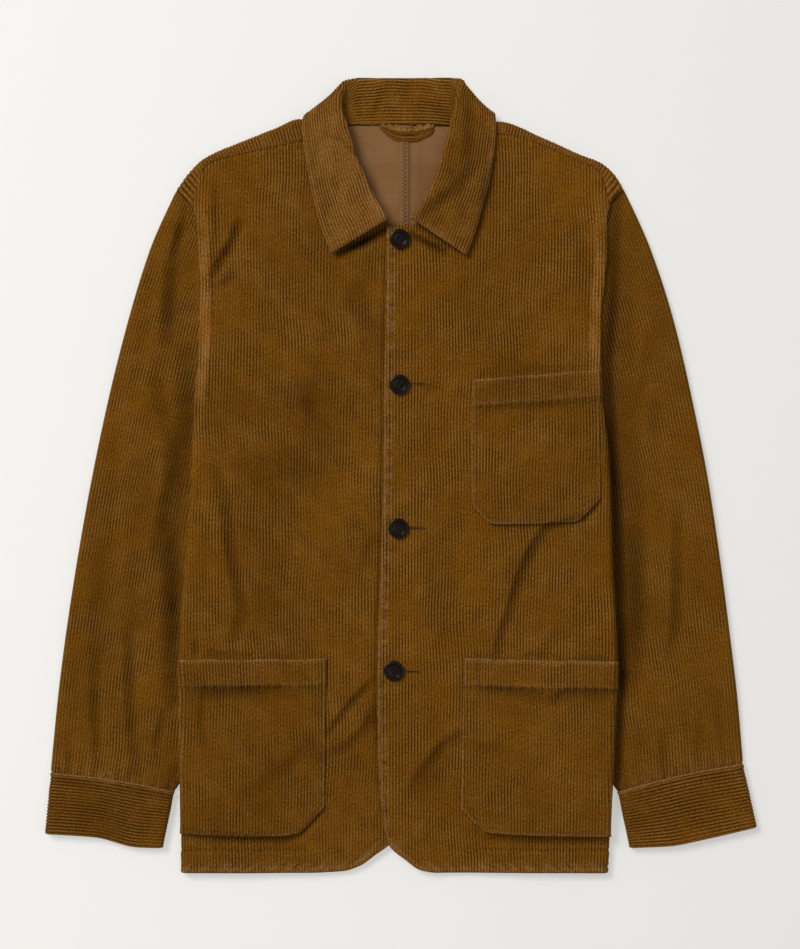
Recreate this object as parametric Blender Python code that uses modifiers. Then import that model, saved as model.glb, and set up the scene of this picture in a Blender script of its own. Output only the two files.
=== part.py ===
"""A corduroy jacket, buttoned and laid flat on its back.

The script works in metres with +Z up. The collar points to +Y, the front faces up, and the
wearer's left is at +X. The tables and sizes are in millimetres: "out" is the distance from
the centre line towards a side seam, "height" the distance above the hem line, and z the
distance above the floor.
"""

import math
from collections import namedtuple

import bmesh
import bpy
from mathutils import Vector

MM = 0.001
WEARERS_RIGHT, WEARERS_LEFT = -1, 1
SIDE_NAMES = {WEARERS_RIGHT: "right", WEARERS_LEFT: "left"}

# ---- driving sizes -----------------------------------------------------------------------
HEM_LINE = -397.2        # Y of the hem line, so that the jacket is centred on the origin
WALL = 1.8               # corduroy
DOUBLE_WALL = 2.6        # the collar, two layers pressed together
CUFF_WALL = 2.8          # the cuffs, turned double
SEAM_GAP = 0.3           # between pieces that are sewn together
LAY_GAP = 0.5            # between a piece and the panel that it lies on
BODY_HEIGHT = 11.0       # top of the fronts above the floor
SLEEVE_HEIGHT = 9.6      # top of a sleeve above the floor
TUCK_HEIGHT = 6.6        # the flattened part of a sleeve that lies under the body
TUCK_LIFT = 7.0          # how far that part lifts the body
CUFF_HEIGHT = 11.0
TUCK_OUT = (90, 172)     # where that lift starts and is full, sideways
TUCK_FROM_HEM = (0, 95)  # and upwards from the hem
BACK_TUCK_END = (418, 462)   # the lift of the back ends steeply at the underarm
FRONT_TUCK_END = (380, 500)  # the lift of the fronts ends more softly
NECK_LIFT = 3.0          # the collar's leaf lies under the back at the neck
NECK_TOP_RISE = 2.0
NECK_OUT, NECK_HEIGHT = (98, 150), (690, 727)   # where that rise fades
OVERLAP_RISE = WALL + 0.6
OVERLAP_FADE = (20, 46)  # the upper front comes down to the lower one beside the overlap
HEM_SAG = 3.0            # the fronts sink this much at the hem
HEM_SAG_HEIGHT, HEM_SAG_OUT = (0, 100), (70, 190)
SEAM_ENDS = (416, 460)   # the side seam closes below the open armhole
EDGE_ROLL = 6.0          # how far in from the side the fronts start to roll down
SHOULDER_ROLL = 5.0
SLEEVE_ROLL = 5.0
UNDERARM = 458.0         # height of the underarm point
FELL = 12.0              # how far the sleeve's upper layer runs in under the front's edge
FELL_TOP, FELL_LOW = (622, 658), (464, 505)     # where the felled edge narrows to nothing
SLEEVE_RISE_HEIGHT = (432, UNDERARM)  # the sleeve fills out again above its tucked part
SLEEVE_RISE_OUT = (6, 28)             # and outside the body's edge
FELL_GAP = 0.8           # between that layer and the front above it
ARMHOLE_GAP = 0.6        # between the armhole's edge and the sleeve's lower layer
ARMHOLE_REACH = 0.24     # share of a sleeve's length over which the armhole's bend fades
RING_BEND = 0.3          # how squarely the lines across a sleeve leave its folds
UNDERARM_LAG = 1.8       # these lines fan out from the underarm
CENTRE_BACK = 8.0        # X of the centre back seam
BUTTED_GAP = 0.5         # between edges that meet end to end
POCKET_BAND_RISE = 0.9   # the folded band along a pocket's mouth stands proud by this much
BUTTON_RADIUS = 10.0
BUTTON_THICK = 3.4
HOLE_RADIUS, HOLE_SPREAD = 1.1, 2.1

Edge = namedtuple("Edge", "height out")
SIDE = {  # the body's outline: side seam, then armhole, up to the shoulder tip
    WEARERS_RIGHT: [
        Edge(0, 219.4), Edge(112, 220.5), Edge(212, 221), Edge(312, 215), Edge(392, 209),
        Edge(443, 208), Edge(472, 205.5), Edge(520, 202.3), Edge(558, 200.4),
        Edge(612, 201.5), Edge(644, 203.3), Edge(665, 208), Edge(673, 216), Edge(682, 224.3),
    ],
    WEARERS_LEFT: [
        Edge(0, 206.5), Edge(37, 208.7), Edge(126, 212.6), Edge(212, 216), Edge(312, 211),
        Edge(352, 210), Edge(413, 208), Edge(455, 203), Edge(472, 200.5), Edge(552, 199),
        Edge(590, 203), Edge(618, 205.5), Edge(646, 205), Edge(662, 207), Edge(672, 214),
        Edge(684, 222),
    ],
}
FRONT_EDGE = {  # the vertical edge of each front; out is negative past the centre line
    WEARERS_RIGHT: [Edge(0, -16), Edge(640, -16)],
    WEARERS_LEFT: [
        Edge(0, -21), Edge(72, -21), Edge(122, -23), Edge(172, -24), Edge(232, -23),
        Edge(312, -20), Edge(372, -18), Edge(472, -17), Edge(572, -15), Edge(645, -15),
    ],
}
FRONT_HEM = {  # rounded corner at the front edge, then level to the side seam
    WEARERS_RIGHT: [
        Edge(84, -16), Edge(44, 0), Edge(28, 12), Edge(18, 25.4), Edge(6.5, 42),
        Edge(1.5, 59), Edge(0, 95), Edge(0, 219.4),
    ],
    WEARERS_LEFT: [
        Edge(76, -21), Edge(47, -17), Edge(28, -12), Edge(14.4, 3), Edge(2.5, 21),
        Edge(0, 38), Edge(0, 206.5),
    ],
}
BACK_HEM_SIDE, BACK_HEM_MIDDLE = 1.0, 31.0      # the back's hem is hidden by the fronts
BACK_HEM_CURVE = (80, 200)                      # out where it curves from one to the other
NECKLINE = {  # edge of the fronts under the collar, from the front edge to the neck point
    WEARERS_RIGHT: [
        Edge(640, -16), Edge(642, -3), Edge(646, 13), Edge(658, 33), Edge(675, 51),
        Edge(697, 63), Edge(722, 69), Edge(738, 71),
    ],
    WEARERS_LEFT: [
        Edge(645, -15), Edge(646, 10), Edge(659, 30), Edge(676, 46), Edge(697, 58),
        Edge(718, 65), Edge(738, 71),
    ],
}
# The shoulder line, seen from above. turn is the lean of the flap that wraps over it, in
# degrees from straight down towards the centre, and width how far the flap reaches.
Shoulder = namedtuple("Shoulder", "out height turn width")
SHOULDER = {
    WEARERS_RIGHT: [
        Shoulder(-10, 746, 0, 8), Shoulder(71, 746, 0, 8), Shoulder(84, 748, 4, 13),
        Shoulder(95, 750, 10, 20), Shoulder(101, 752.6, 14, 22), Shoulder(126, 743.2, 17, 18),
        Shoulder(161, 729.5, 22, 12), Shoulder(196, 713.8, 33, 7), Shoulder(211, 700, 40, 14),
        Shoulder(224.3, 682, 43.5, 23.4),
    ],
    WEARERS_LEFT: [
        Shoulder(-10, 746, 0, 8), Shoulder(71, 745, 0, 8), Shoulder(84, 747, 3, 10),
        Shoulder(97, 750, 8, 12), Shoulder(143, 733.4, 20, 7), Shoulder(179, 717.3, 27, 6.4),
        Shoulder(199, 709.6, 32, 7), Shoulder(212, 699, 38, 14), Shoulder(222, 684, 40, 22),
    ],
}
NECK_POINT = 71.0
NECK_BEND = 7.0          # the back neckline climbs round the shoulder over this width
NECK_REACH = 0.7         # between the rows of the flat neckline beside it
Outline = namedtuple("Outline", "height out")
SLEEVE_OUTER = {  # from the shoulder tip down to the cuff seam
    WEARERS_RIGHT: [
        Outline(680.8, 225.1), Outline(622, 251), Outline(522, 280.5), Outline(422, 303.5),
        Outline(302, 325.3), Outline(192, 341), Outline(100, 350.4),
    ],
    WEARERS_LEFT: [
        Outline(682.8, 222.8), Outline(622, 249.8), Outline(552, 272.4), Outline(472, 291.2),
        Outline(392, 307), Outline(312, 319.1), Outline(232, 329.5), Outline(172, 336.6),
        Outline(109, 342),
    ],
}
SLEEVE_INNER = {  # the underarm fold, which runs in under the body and out again
    WEARERS_RIGHT: [
        Outline(458, 207.9), Outline(430, 209.1), Outline(398, 203), Outline(366, 190),
        Outline(310, 178), Outline(230, 176), Outline(160, 188), Outline(110, 208),
        Outline(81, 225.5),
    ],
    WEARERS_LEFT: [
        Outline(458, 203.9), Outline(430, 207.1), Outline(398, 199), Outline(366, 187),
        Outline(310, 176), Outline(230, 174), Outline(160, 182), Outline(110, 200),
        Outline(80.6, 215.6),
    ],
}
CUFF_BOTTOM = {  # from the inner corner to the outer corner
    WEARERS_RIGHT: [Outline(25, 237), Outline(26, 263), Outline(36, 306), Outline(39.3, 356.1)],
    WEARERS_LEFT: [Outline(25, 227.5), Outline(27, 268), Outline(33.5, 302), Outline(46, 356.0)],
}
CUFF_SEAM_BOW = 2.5      # the cuff seam bows up by this much in the middle

# Soft troughs in the cloth: a run of points, the half width and the depth.
Fold = namedtuple("Fold", "run half_width depth")
BODY_FOLDS = {
    WEARERS_RIGHT: [
        Fold(((163, 638), (173, 620), (180, 606)), 13, 2.4),    # drag at the armhole
        Fold(((172, 400), (168, 330), (152, 244)), 17, 2.2),    # beside the side seam
        Fold(((24, 196), (44, 170), (66, 146)), 13, 1.8),       # from the lowest button
    ],
    WEARERS_LEFT: [
        Fold(((131, 338), (117, 296), (104, 250), (96, 222)), 15, 2.6),  # below the pocket
        Fold(((60, 136), (42, 112), (30, 98)), 13, 1.4),
    ],
}
SLEEVE_FOLDS = {
    WEARERS_RIGHT: [
        Fold(((220, 650), (229, 572), (246, 482), (262, 430)), 15, 2.2),
        Fold(((250, 380), (262, 300), (268, 220)), 17, 1.6),
    ],
    WEARERS_LEFT: [
        Fold(((224, 640), (226, 560), (232, 480)), 15, 1.8),
        Fold(((284, 360), (272, 280), (278, 200)), 17, 1.8),
    ],
}

# The collar: where its neck seam, fold and leaf edge run, from the centre back forwards.
Collar = namedtuple("Collar", "seam_out seam_h seam_z fold_out fold_h fold_z edge_out edge_h edge_z")
COLLAR = {
    WEARERS_RIGHT: [
        Collar(26, 747.8, 4.6, 24, 793, 3.9, 27, 734, 1.3),
        Collar(47, 747.8, 4.6, 42, 793, 4.0, 52, 736, 1.3),
        Collar(58, 748.2, 4.8, 50, 792, 4.9, 72, 742.8, 1.3),
        Collar(66, 750, 7.0, 56, 789.5, 7.2, 88, 753.5, 2.2),
        Collar(70, 752, 10.5, 58.5, 782, 12.0, 94.5, 756, 8.5),
        Collar(72.5, 750, 15.0, 61, 774, 16.0, 98, 748, 16.2),
        Collar(72, 741, 16.2, 60.5, 762, 19.0, 97, 731, 17.4),
        Collar(68, 724, 16.2, 54.5, 745, 20.5, 94, 711, 17.0),
        Collar(62.5, 702, 15.6, 48, 720, 20.5, 90.5, 690, 16.6),
        Collar(52, 680, 15.2, 38, 697, 19.8, 85, 665, 16.4),
        Collar(37, 664, 14.8, 28, 675, 18.6, 78, 641, 16.8),
        Collar(16, 650.5, 14.6, 13, 652, 17.2, 69, 618, 17.4),
    ],
    WEARERS_LEFT: [
        Collar(28, 747.8, 4.6, 31, 793, 3.9, 30, 734, 1.3),
        Collar(49, 747.8, 4.6, 50, 793, 4.0, 55, 736, 1.3),
        Collar(58, 748.2, 4.8, 58, 792.3, 4.9, 74, 745, 1.3),
        Collar(66, 750, 7.0, 60, 789.5, 7.2, 88.5, 756.5, 2.2),
        Collar(70, 752, 10.5, 58, 782, 12.0, 93.5, 757, 8.5),
        Collar(72.5, 750, 15.0, 55.5, 773, 16.0, 94, 747, 16.2),
        Collar(72, 741, 16.2, 53.5, 761, 19.0, 93.5, 731, 17.4),
        Collar(66, 724, 16.2, 49.5, 743, 20.5, 91, 711, 17.0),
        Collar(59, 700, 15.6, 43.5, 719, 20.5, 87.5, 690, 16.6),
        Collar(47, 680, 15.2, 35, 696, 19.8, 81, 665, 16.4),
        Collar(33, 664, 14.8, 24, 672, 18.6, 74, 640, 16.8),
        Collar(12, 650.5, 16.9, 10, 652, 19.4, 65, 616, 17.6),
    ],
}
COLLAR_FOLD_RADIUS = 2.5

# A pocket's sizes go from its inner to its outer edge: inner and outer are the out of those
# edges at the mouth and at the bottom (None where the edge runs into the side seam), mouth
# and bottom are heights, chamfer is the width and rise of each cut corner.
POCKETS = {
    "chest_pocket": dict(
        side=WEARERS_LEFT, inner=(71.5, 71.5), outer=(197.5, 197.5), mouth=(492, 501.5),
        bottom=(347.5, 350.5), chamfer=(16.5, 20, 21, 22), band=27.5),
    "lower_pocket_right": dict(
        side=WEARERS_RIGHT, inner=(75, 77), outer=None, mouth=(214, 213),
        bottom=(38.5, 38.5), chamfer=(24, 26, 0, 0), band=27.5),
    "lower_pocket_left": dict(
        side=WEARERS_LEFT, inner=(63, 59.5), outer=None, mouth=(214.5, 211.5),
        bottom=(40.5, 36.5), chamfer=(24, 25, 0, 0), band=29),
}
Button = namedtuple("Button", "x height")
BUTTONS = [Button(-1, 632), Button(-1.3, 487), Button(-2.4, 344), Button(-7, 202)]
LOOP_RUN = [(-18, 743.6, 6.8), (-12, 737.5, 6.8), (-2, 734, 6.8), (8, 733, 6.8),
            (18, 734, 6.8), (28, 737.5, 6.8), (34, 743.6, 6.8)]
LOOP_HALF_WIDTH, LOOP_HALF_THICK = 3.4, 1.4
# The profile of a button: the share of its radius and the height below its top.
BUTTON_PROFILE = [(0, 1.0), (0.62, 1.0), (0.76, 0), (0.9, 0), (1, 1.36),
                  (0.9, BUTTON_THICK), (0, BUTTON_THICK)]

# ---- mesh resolution ---------------------------------------------------------------------
SHOULDER_STOPS = (NECK_POINT, 84, 97, 116, 138, 160, 180, 196, 210)
BACK_NECK_STOPS = (34, 54, 64, 67.5)
FRONT_SHARES = (0, 0.03, 0.08, 0.15, 0.24, 0.33)
FRONT_SHOULDER_SHARE = 0.41
ROLL_ANGLES = (32, 62, 84, 90)
HEM_PARTS = (0, 0.25, 0.5, 0.75)
LEVELS = (100, 148, 196, 245, 295, 345, 388, 418, 429, 440, 451, 462, 490, 525, 560)
TOP_PARTS = (0.4, 0.72, 0.87, 1.0)
SHOULDER_STEPS = 6
ACROSS_PARTS = (0, 0.08, 0.17, 0.33, 0.5, 0.67, 0.84, 1)
ROUND_STEPS = 4          # steps round each rolled edge of a sleeve
SLEEVE_SHARES = (0, 0.02, 0.05, 0.09, 0.13, 0.18, 0.23, 0.28, 0.33, 0.38, 0.43, 0.49, 0.55,
                 0.61, 0.67, 0.73, 0.79, 0.85, 0.9, 0.95, 1)
CUFF_SHARES = (0, 0.33, 0.66, 1)
STAND_PARTS = (0, 0.5)
LEAF_PARTS = (0.5, 1)
FOLD_ANGLES = (-90, -30, 30, 90)
BETWEEN_STATIONS = 2     # sections from one row of the collar's table to the next
POCKET_ACROSS = 9
POCKET_DOWN = (0, 0.16, 0.32, 0.46, 0.6, 0.72, 0.84, 1)
BUTTON_STEPS, HOLE_SIDES = 18, 6
LOOP_SIDES, LOOP_STEPS = 8, 12

MATERIALS = {
    "corduroy": ((0.155, 0.062, 0.012, 1), 0.95),
    "corduroy_worn": ((0.185, 0.080, 0.020, 1), 0.95),
    "horn_black": ((0.012, 0.010, 0.010, 1), 0.35),
}


# ---- numbers and curves ------------------------------------------------------------------
def step(value, start, end):
    """0 before start, 1 after end, and smooth between them."""
    share = min(max((value - start) / (end - start), 0.0), 1.0)
    return share * share * (3 - 2 * share)


def mix(first, second, share):
    return first + (second - first) * share


def smooth_through(keys, values, key):
    """A smooth curve through the values that never overshoots them."""
    if key <= keys[0]:
        return values[0]
    if key >= keys[-1]:
        return values[-1]
    gaps = [b - a for a, b in zip(keys, keys[1:])]
    slopes = [(b - a) / gap for a, b, gap in zip(values, values[1:], gaps)]
    ends = [slopes[0]]
    for before, after in zip(slopes, slopes[1:]):
        ends.append(2 * before * after / (before + after) if before * after > 0 else 0.0)
    ends.append(slopes[-1])
    i = max(n for n, start in enumerate(keys[:-1]) if key >= start)
    t = (key - keys[i]) / gaps[i]
    return (values[i] * (1 + 2 * t) * (1 - t) ** 2 + values[i + 1] * t * t * (3 - 2 * t)
            + gaps[i] * (ends[i] * t * (1 - t) ** 2 - ends[i + 1] * t * t * (1 - t)))


def read(table, column, key, by):
    """One named column of a table at a key, whichever way the table runs."""
    rows = sorted(table, key=lambda row: getattr(row, by))
    return smooth_through([getattr(row, by) for row in rows],
                          [getattr(row, column) for row in rows], key)


def run_along(points, share):
    """The point at a share of the length of a run of (out, height) points."""
    lengths = [0.0]
    for a, b in zip(points, points[1:]):
        lengths.append(lengths[-1] + math.dist(a, b))
    at = share * lengths[-1]
    return tuple(smooth_through(lengths, [p[axis] for p in points], at)
                 for axis in range(len(points[0])))


def outline_along(table, share):
    return run_along([(row.out, row.height) for row in table], share)


def distance_to_run(run, out, height):
    """(distance, share along) of the nearest point of a run of straight pieces."""
    best = (1e9, 0.0)
    for i, (a, b) in enumerate(zip(run, run[1:])):
        along = Vector(b) - Vector(a)
        t = (Vector((out, height)) - Vector(a)).dot(along) / along.length_squared
        t = min(max(t, 0.0), 1.0)
        away = (Vector((out, height)) - Vector(a) - along * t).length
        best = min(best, (away, (i + t) / (len(run) - 1)))
    return best


def place(side, out, height, z):
    return Vector((side * out, HEM_LINE + height, z)) * MM


# ---- the lay of the cloth ----------------------------------------------------------------
def side_edge(side, height):
    return read(SIDE[side], "out", height, "height")


def front_edge(side, height):
    return read(FRONT_EDGE[side], "out", height, "height")


def folds_at(folds, out, height):
    """How deep the soft troughs are at a point."""
    depth = 0.0
    for fold in folds:
        away, share = distance_to_run(fold.run, out, height)
        across = max(0.0, 1 - (away / fold.half_width) ** 2) ** 2
        depth += fold.depth * across * (0.35 + 0.65 * math.sin(math.pi * share))
    return depth


def tucked(out, height, top_start, top_end):
    """1 where a sleeve lies under the body, 0 away from it."""
    return (step(out, *TUCK_OUT) * step(height, *TUCK_FROM_HEM)
            * (1 - step(height, top_start, top_end)))


def at_neck(out, height):
    """1 beside the neck, where the collar's leaf lies under the back."""
    return (1 - step(abs(out), *NECK_OUT)) * step(height, *NECK_HEIGHT)


def seam_closed(height):
    """1 along the side seam, 0 beside the armhole, which is open."""
    return 1 - step(height, *SEAM_ENDS)


def back_underside(out, height):
    lift = TUCK_LIFT * tucked(out, height, *BACK_TUCK_END)
    return lift + NECK_LIFT * at_neck(out, height)


def front_top(side, out, height):
    rise = TUCK_LIFT * tucked(out, height, *FRONT_TUCK_END)
    rise += NECK_TOP_RISE * at_neck(out, height)
    if side == WEARERS_LEFT:
        rise += OVERLAP_RISE * (1 - step(out, *OVERLAP_FADE))
    sag = HEM_SAG * (1 - step(height, *HEM_SAG_HEIGHT)) * (1 - step(abs(out), *HEM_SAG_OUT))
    return BODY_HEIGHT + rise - sag - folds_at(BODY_FOLDS[side], out, height)


def on_front(side, out, height, raised=0.0):
    """A point of a front's outer face, or raised above it, rolling down at the side."""
    start = side_edge(side, height) - EDGE_ROLL
    if out <= start:
        return place(side, out, height, front_top(side, out, height) + raised)
    closed = seam_closed(height)
    angle = math.asin(min((out - start) / EDGE_ROLL, 1.0))
    top = front_top(side, start, height)
    drop = (top - back_underside(start, height)) / 2 * closed
    sideways = (EDGE_ROLL + raised * closed) * math.sin(angle)
    lowered = drop * (1 - math.cos(angle)) + raised * closed * (1 - math.cos(angle))
    return place(side, start + sideways, height, top + raised - lowered)


def on_back(side, out, height):
    """A point of a back panel's outer face, which turns up at the side seam."""
    start = side_edge(side, height) - EDGE_ROLL
    if out <= start:
        return place(side, out, height, back_underside(out, height))
    angle = math.asin(min((out - start) / EDGE_ROLL, 1.0))
    low = back_underside(start, height)
    rise = ((front_top(side, start, height) - low) / 2 - SEAM_GAP) * seam_closed(height)
    return place(side, start + EDGE_ROLL * math.sin(angle), height,
                 low + rise * (1 - math.cos(angle)))


def flap_way(side, out):
    """The direction in which the shoulder flap runs, as (out, height)."""
    turn = math.radians(read(SHOULDER[side], "turn", out, "out"))
    return -math.sin(turn), -math.cos(turn)


def shoulder_point(side, out, along):
    """A point on the shoulder line, moved along the flap's way."""
    way = flap_way(side, out)
    height = read(SHOULDER[side], "height", out, "out")
    return out + way[0] * along, height + way[1] * along


def roll_columns(side, height):
    """The out of the columns that go round the side roll."""
    start = side_edge(side, height) - EDGE_ROLL
    return [start + EDGE_ROLL * math.sin(math.radians(angle)) for angle in ROLL_ANGLES]


# ---- objects -----------------------------------------------------------------------------
def collection_named(name):
    collection = bpy.data.collections.new(name)
    bpy.context.scene.collection.children.link(collection)
    return collection


def material_named(name):
    if name in bpy.data.materials:
        return bpy.data.materials[name]
    colour, roughness = MATERIALS[name]
    material = bpy.data.materials.new(name)
    material.use_nodes = True
    shader = material.node_tree.nodes["Principled BSDF"]
    shader.inputs["Base Color"].default_value = colour
    shader.inputs["Roughness"].default_value = roughness
    shader.inputs["Metallic"].default_value = 0.0
    material.diffuse_color = colour
    return material


def finished(name, mesh, material):
    """A new object for a mesh, in the jacket's collection, with its own material."""
    mesh.materials.append(material_named(material))
    piece = bpy.data.objects.new(name, mesh)
    JACKET.objects.link(piece)
    return piece


def surface(name, rows, face_down=False, tube=False, end=False):
    """A mesh through rows of points. A tube's last column is welded to its first."""
    across, along = len(rows[0]) - 1, len(rows) - 1
    sheet = bmesh.new()
    bmesh.ops.create_grid(sheet, x_segments=across, y_segments=along, size=1.0)
    for corner in sheet.verts:
        column = round((corner.co.x + 1) / 2 * across)
        row = round((corner.co.y + 1) / 2 * along)
        corner.co = rows[row][column]
    if tube:
        bmesh.ops.remove_doubles(sheet, verts=sheet.verts, dist=1e-6)
    if face_down:
        bmesh.ops.reverse_faces(sheet, faces=sheet.faces)
    if end:
        bmesh.ops.holes_fill(sheet, edges=[e for e in sheet.edges if e.is_boundary])
    mesh = bpy.data.meshes.new(name)
    sheet.to_mesh(mesh)
    sheet.free()
    for face in mesh.polygons:
        face.use_smooth = True
    return mesh


def thickened(piece, wall, offset=-1.0, even=True):
    solid = piece.modifiers.new("Wall", "SOLIDIFY")
    solid.thickness = wall * MM
    solid.offset = offset
    solid.use_even_offset = even
    return piece


# ---- the body ----------------------------------------------------------------------------
def back_hem(out):
    return mix(BACK_HEM_MIDDLE, BACK_HEM_SIDE, step(abs(out), *BACK_HEM_CURVE))


def centre_back(side):
    return side * CENTRE_BACK + SEAM_GAP / 2


def back_column(side, share, height):
    """out of a column of the back panel, from the centre back seam to the side roll."""
    return mix(centre_back(side), side_edge(side, height) - EDGE_ROLL, share)


def shoulder_rows(side, stop):
    """The points of one column from the floor, over the shoulder, to the shoulder seam."""
    turned = step(stop, NECK_POINT - NECK_BEND, NECK_POINT)
    width = read(SHOULDER[side], "width", stop, "out")
    points = []
    for part in range(1, SHOULDER_STEPS + 1):
        angle = math.pi * turned * part / SHOULDER_STEPS
        inward = SHOULDER_ROLL * (1 - math.sin(angle)) - (1 - turned) * NECK_REACH * part
        out, height = shoulder_point(side, stop, inward)
        low = back_underside(out, height)
        half = (front_top(side, out, height) - low) / 2
        points.append((out, height, low + half * (1 - math.cos(angle))))
    last = shoulder_point(side, stop, width * turned)
    points.append((*last, mix(back_underside(*last), front_top(side, *last), turned)))
    return points


def back_panel(side):
    stops = [centre_back(side)] + list(BACK_NECK_STOPS) + list(SHOULDER_STOPS)
    tip = SHOULDER[side][-1].out
    rows = []
    shares = [(stop - stops[0]) / (tip - stops[0]) for stop in stops]
    for part in HEM_PARTS:
        row = []
        for share in shares:
            out = back_column(side, share, 0)
            height = mix(back_hem(out), LEVELS[0], part)
            row.append(on_back(side, back_column(side, share, height), height))
        height = mix(back_hem(side_edge(side, 0)), LEVELS[0], part)
        row += [on_back(side, out, height) for out in roll_columns(side, height)]
        rows.append(row)
    for height in LEVELS:
        row = [on_back(side, back_column(side, share, height), height) for share in shares]
        row += [on_back(side, out, height) for out in roll_columns(side, height)]
        rows.append(row)
    # Above the last level the columns fan out to the shoulder line and the tip.
    roll_shares = [1 - (1 - math.sin(math.radians(a))) * EDGE_ROLL / tip for a in ROLL_ANGLES]
    every = list(zip(stops, shares)) + [(mix(stops[0], tip, s), None) for s in roll_shares]
    contact = [shoulder_point(side, stop, SHOULDER_ROLL) for stop, _ in every]
    for part in TOP_PARTS:
        row = []
        for (stop, share), (aim_out, aim_height), angle in zip(
                every, contact, [None] * len(stops) + list(ROLL_ANGLES)):
            height = mix(LEVELS[-1], aim_height, part)

            def column(at):
                if share is not None:
                    return back_column(side, share, at)
                return side_edge(side, at) - EDGE_ROLL * (1 - math.sin(math.radians(angle)))

            out = column(height) + (aim_out - column(aim_height)) * part * part
            row.append(place(side, out, height, back_underside(out, height)))
        rows.append(row)
    wraps = [shoulder_rows(side, stop) for stop, _ in every]
    for part in range(SHOULDER_STEPS + 1):
        rows.append([place(side, *wrap[part]) for wrap in wraps])
    name = "back_" + SIDE_NAMES[side]
    mesh = surface(name, rows, face_down=side > 0)
    return thickened(finished(name, mesh, "corduroy"), WALL)


def front_column(side, share, height):
    return mix(front_edge(side, height), side_edge(side, height) - EDGE_ROLL, share)


def front_panel(side):
    tip = SHOULDER[side][-1].out
    neck_shares = list(FRONT_SHARES)
    stops = list(SHOULDER_STOPS) + [
        tip - (1 - math.sin(math.radians(a))) * EDGE_ROLL for a in ROLL_ANGLES]
    shoulder_shares = [mix(FRONT_SHOULDER_SHARE, 1, (stop - NECK_POINT) / (tip - NECK_POINT))
                       for stop in SHOULDER_STOPS]
    shares = neck_shares + shoulder_shares
    rows = []
    for part in HEM_PARTS:
        row = []
        for share in shares:
            hem = read(FRONT_HEM[side], "height", front_column(side, share, 0), "out")
            height = mix(hem, LEVELS[0], part)
            row.append(on_front(side, front_column(side, share, height), height))
        height = mix(0.0, LEVELS[0], part)
        row += [on_front(side, out, height) for out in roll_columns(side, height)]
        rows.append(row)
    for height in LEVELS:
        row = [on_front(side, front_column(side, share, height), height) for share in shares]
        row += [on_front(side, out, height) for out in roll_columns(side, height)]
        rows.append(row)
    # Above the last level the columns lean to the neckline and to the shoulder seam.
    aims = [outline_along(NECKLINE[side], share / FRONT_SHOULDER_SHARE) for share in neck_shares]
    for stop in stops:
        width = read(SHOULDER[side], "width", stop, "out") + BUTTED_GAP
        aims.append(shoulder_point(side, stop, width))
    angles = [None] * len(shares) + list(ROLL_ANGLES)
    for part in TOP_PARTS:
        row = []
        ends = [1] * len(ROLL_ANGLES)
        for share, angle, (aim_out, aim_height) in zip(shares + ends, angles, aims):
            height = mix(LEVELS[-1], aim_height, part)

            def column(at):
                if angle is None:
                    return front_column(side, share, at)
                return side_edge(side, at) - EDGE_ROLL * (1 - math.sin(math.radians(angle)))

            out = column(height) + (aim_out - column(aim_height)) * part * part
            row.append(place(side, out, height, front_top(side, out, height)))
        rows.append(row)
    name = "front_" + SIDE_NAMES[side]
    mesh = surface(name, rows, face_down=side < 0)
    return thickened(finished(name, mesh, "corduroy"), WALL)


# ---- sleeves and cuffs -------------------------------------------------------------------
def sleeve_top(side, out, height):
    """Height of a sleeve's upper face: low where the body lies on it, full outside."""
    low = mix(TUCK_HEIGHT, BODY_HEIGHT - WALL - FELL_GAP, step(height, *SLEEVE_RISE_HEIGHT))
    outside = step(out - side_edge(side, height), *SLEEVE_RISE_OUT)
    full = SLEEVE_HEIGHT - folds_at(SLEEVE_FOLDS[side], out, height)
    return mix(low, full, outside)


def armhole_along(side, share, inset):
    """A point of the armhole edge, from the shoulder tip down to the underarm."""
    tip = SIDE[side][-1].height
    height = mix(tip, UNDERARM, share)
    here = (side_edge(side, height), height)
    beyond = (side_edge(side, height - 1), height - 1)
    away = Vector((here[1] - beyond[1], beyond[0] - here[0])).normalized()
    return here[0] - away.x * inset, here[1] - away.y * inset


def felled(height):
    """How far the sleeve's upper layer runs in under the body's edge."""
    return FELL * (1 - step(height, *FELL_TOP)) * step(height, *FELL_LOW)


def edge_way(table, share):
    """The direction square to an outline, towards its inner side, as (out, height)."""
    a, b = (outline_along(table, min(max(share + d, 0), 1)) for d in (-0.01, 0.01))
    return Vector((a[1] - b[1], b[0] - a[0])).normalized()


def sleeve_rolls(side, share):
    """Both folded edges of a sleeve, each with the direction in to the flat beside it."""
    inner_share = share ** UNDERARM_LAG
    outer = Vector(outline_along(SLEEVE_OUTER[side], share))
    inner = Vector(outline_along(SLEEVE_INNER[side], inner_share))
    at_top = 1 - step(share, 0, 0.06)
    tip_way = Vector(flap_way(side, SHOULDER[side][-1].out))
    from_outer = (-edge_way(SLEEVE_OUTER[side], share)).lerp(tip_way, at_top).normalized()
    from_inner = edge_way(SLEEVE_INNER[side], inner_share)
    from_inner = from_inner.lerp(Vector((0, 1)), at_top).normalized()
    return outer, from_outer, inner, from_inner


def across_sleeve(side, share, part):
    """A point of the flat of a sleeve, part of the way from the outer to the inner fold.

    The line leaves both folds squarely, and is straight at the cuff seam.
    """
    outer, from_outer, inner, from_inner = sleeve_rolls(side, share)
    start, end = outer + from_outer * SLEEVE_ROLL, inner + from_inner * SLEEVE_ROLL
    straight = start.lerp(end, part)
    reach = (end - start).length * RING_BEND
    bent = (start.lerp(end, part * part * (3 - 2 * part))
            + from_outer * reach * part * (1 - part) ** 2
            + from_inner * reach * part * part * (1 - part))
    return straight.lerp(bent, 1 - step(share, 0.7, 0.95))


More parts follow.
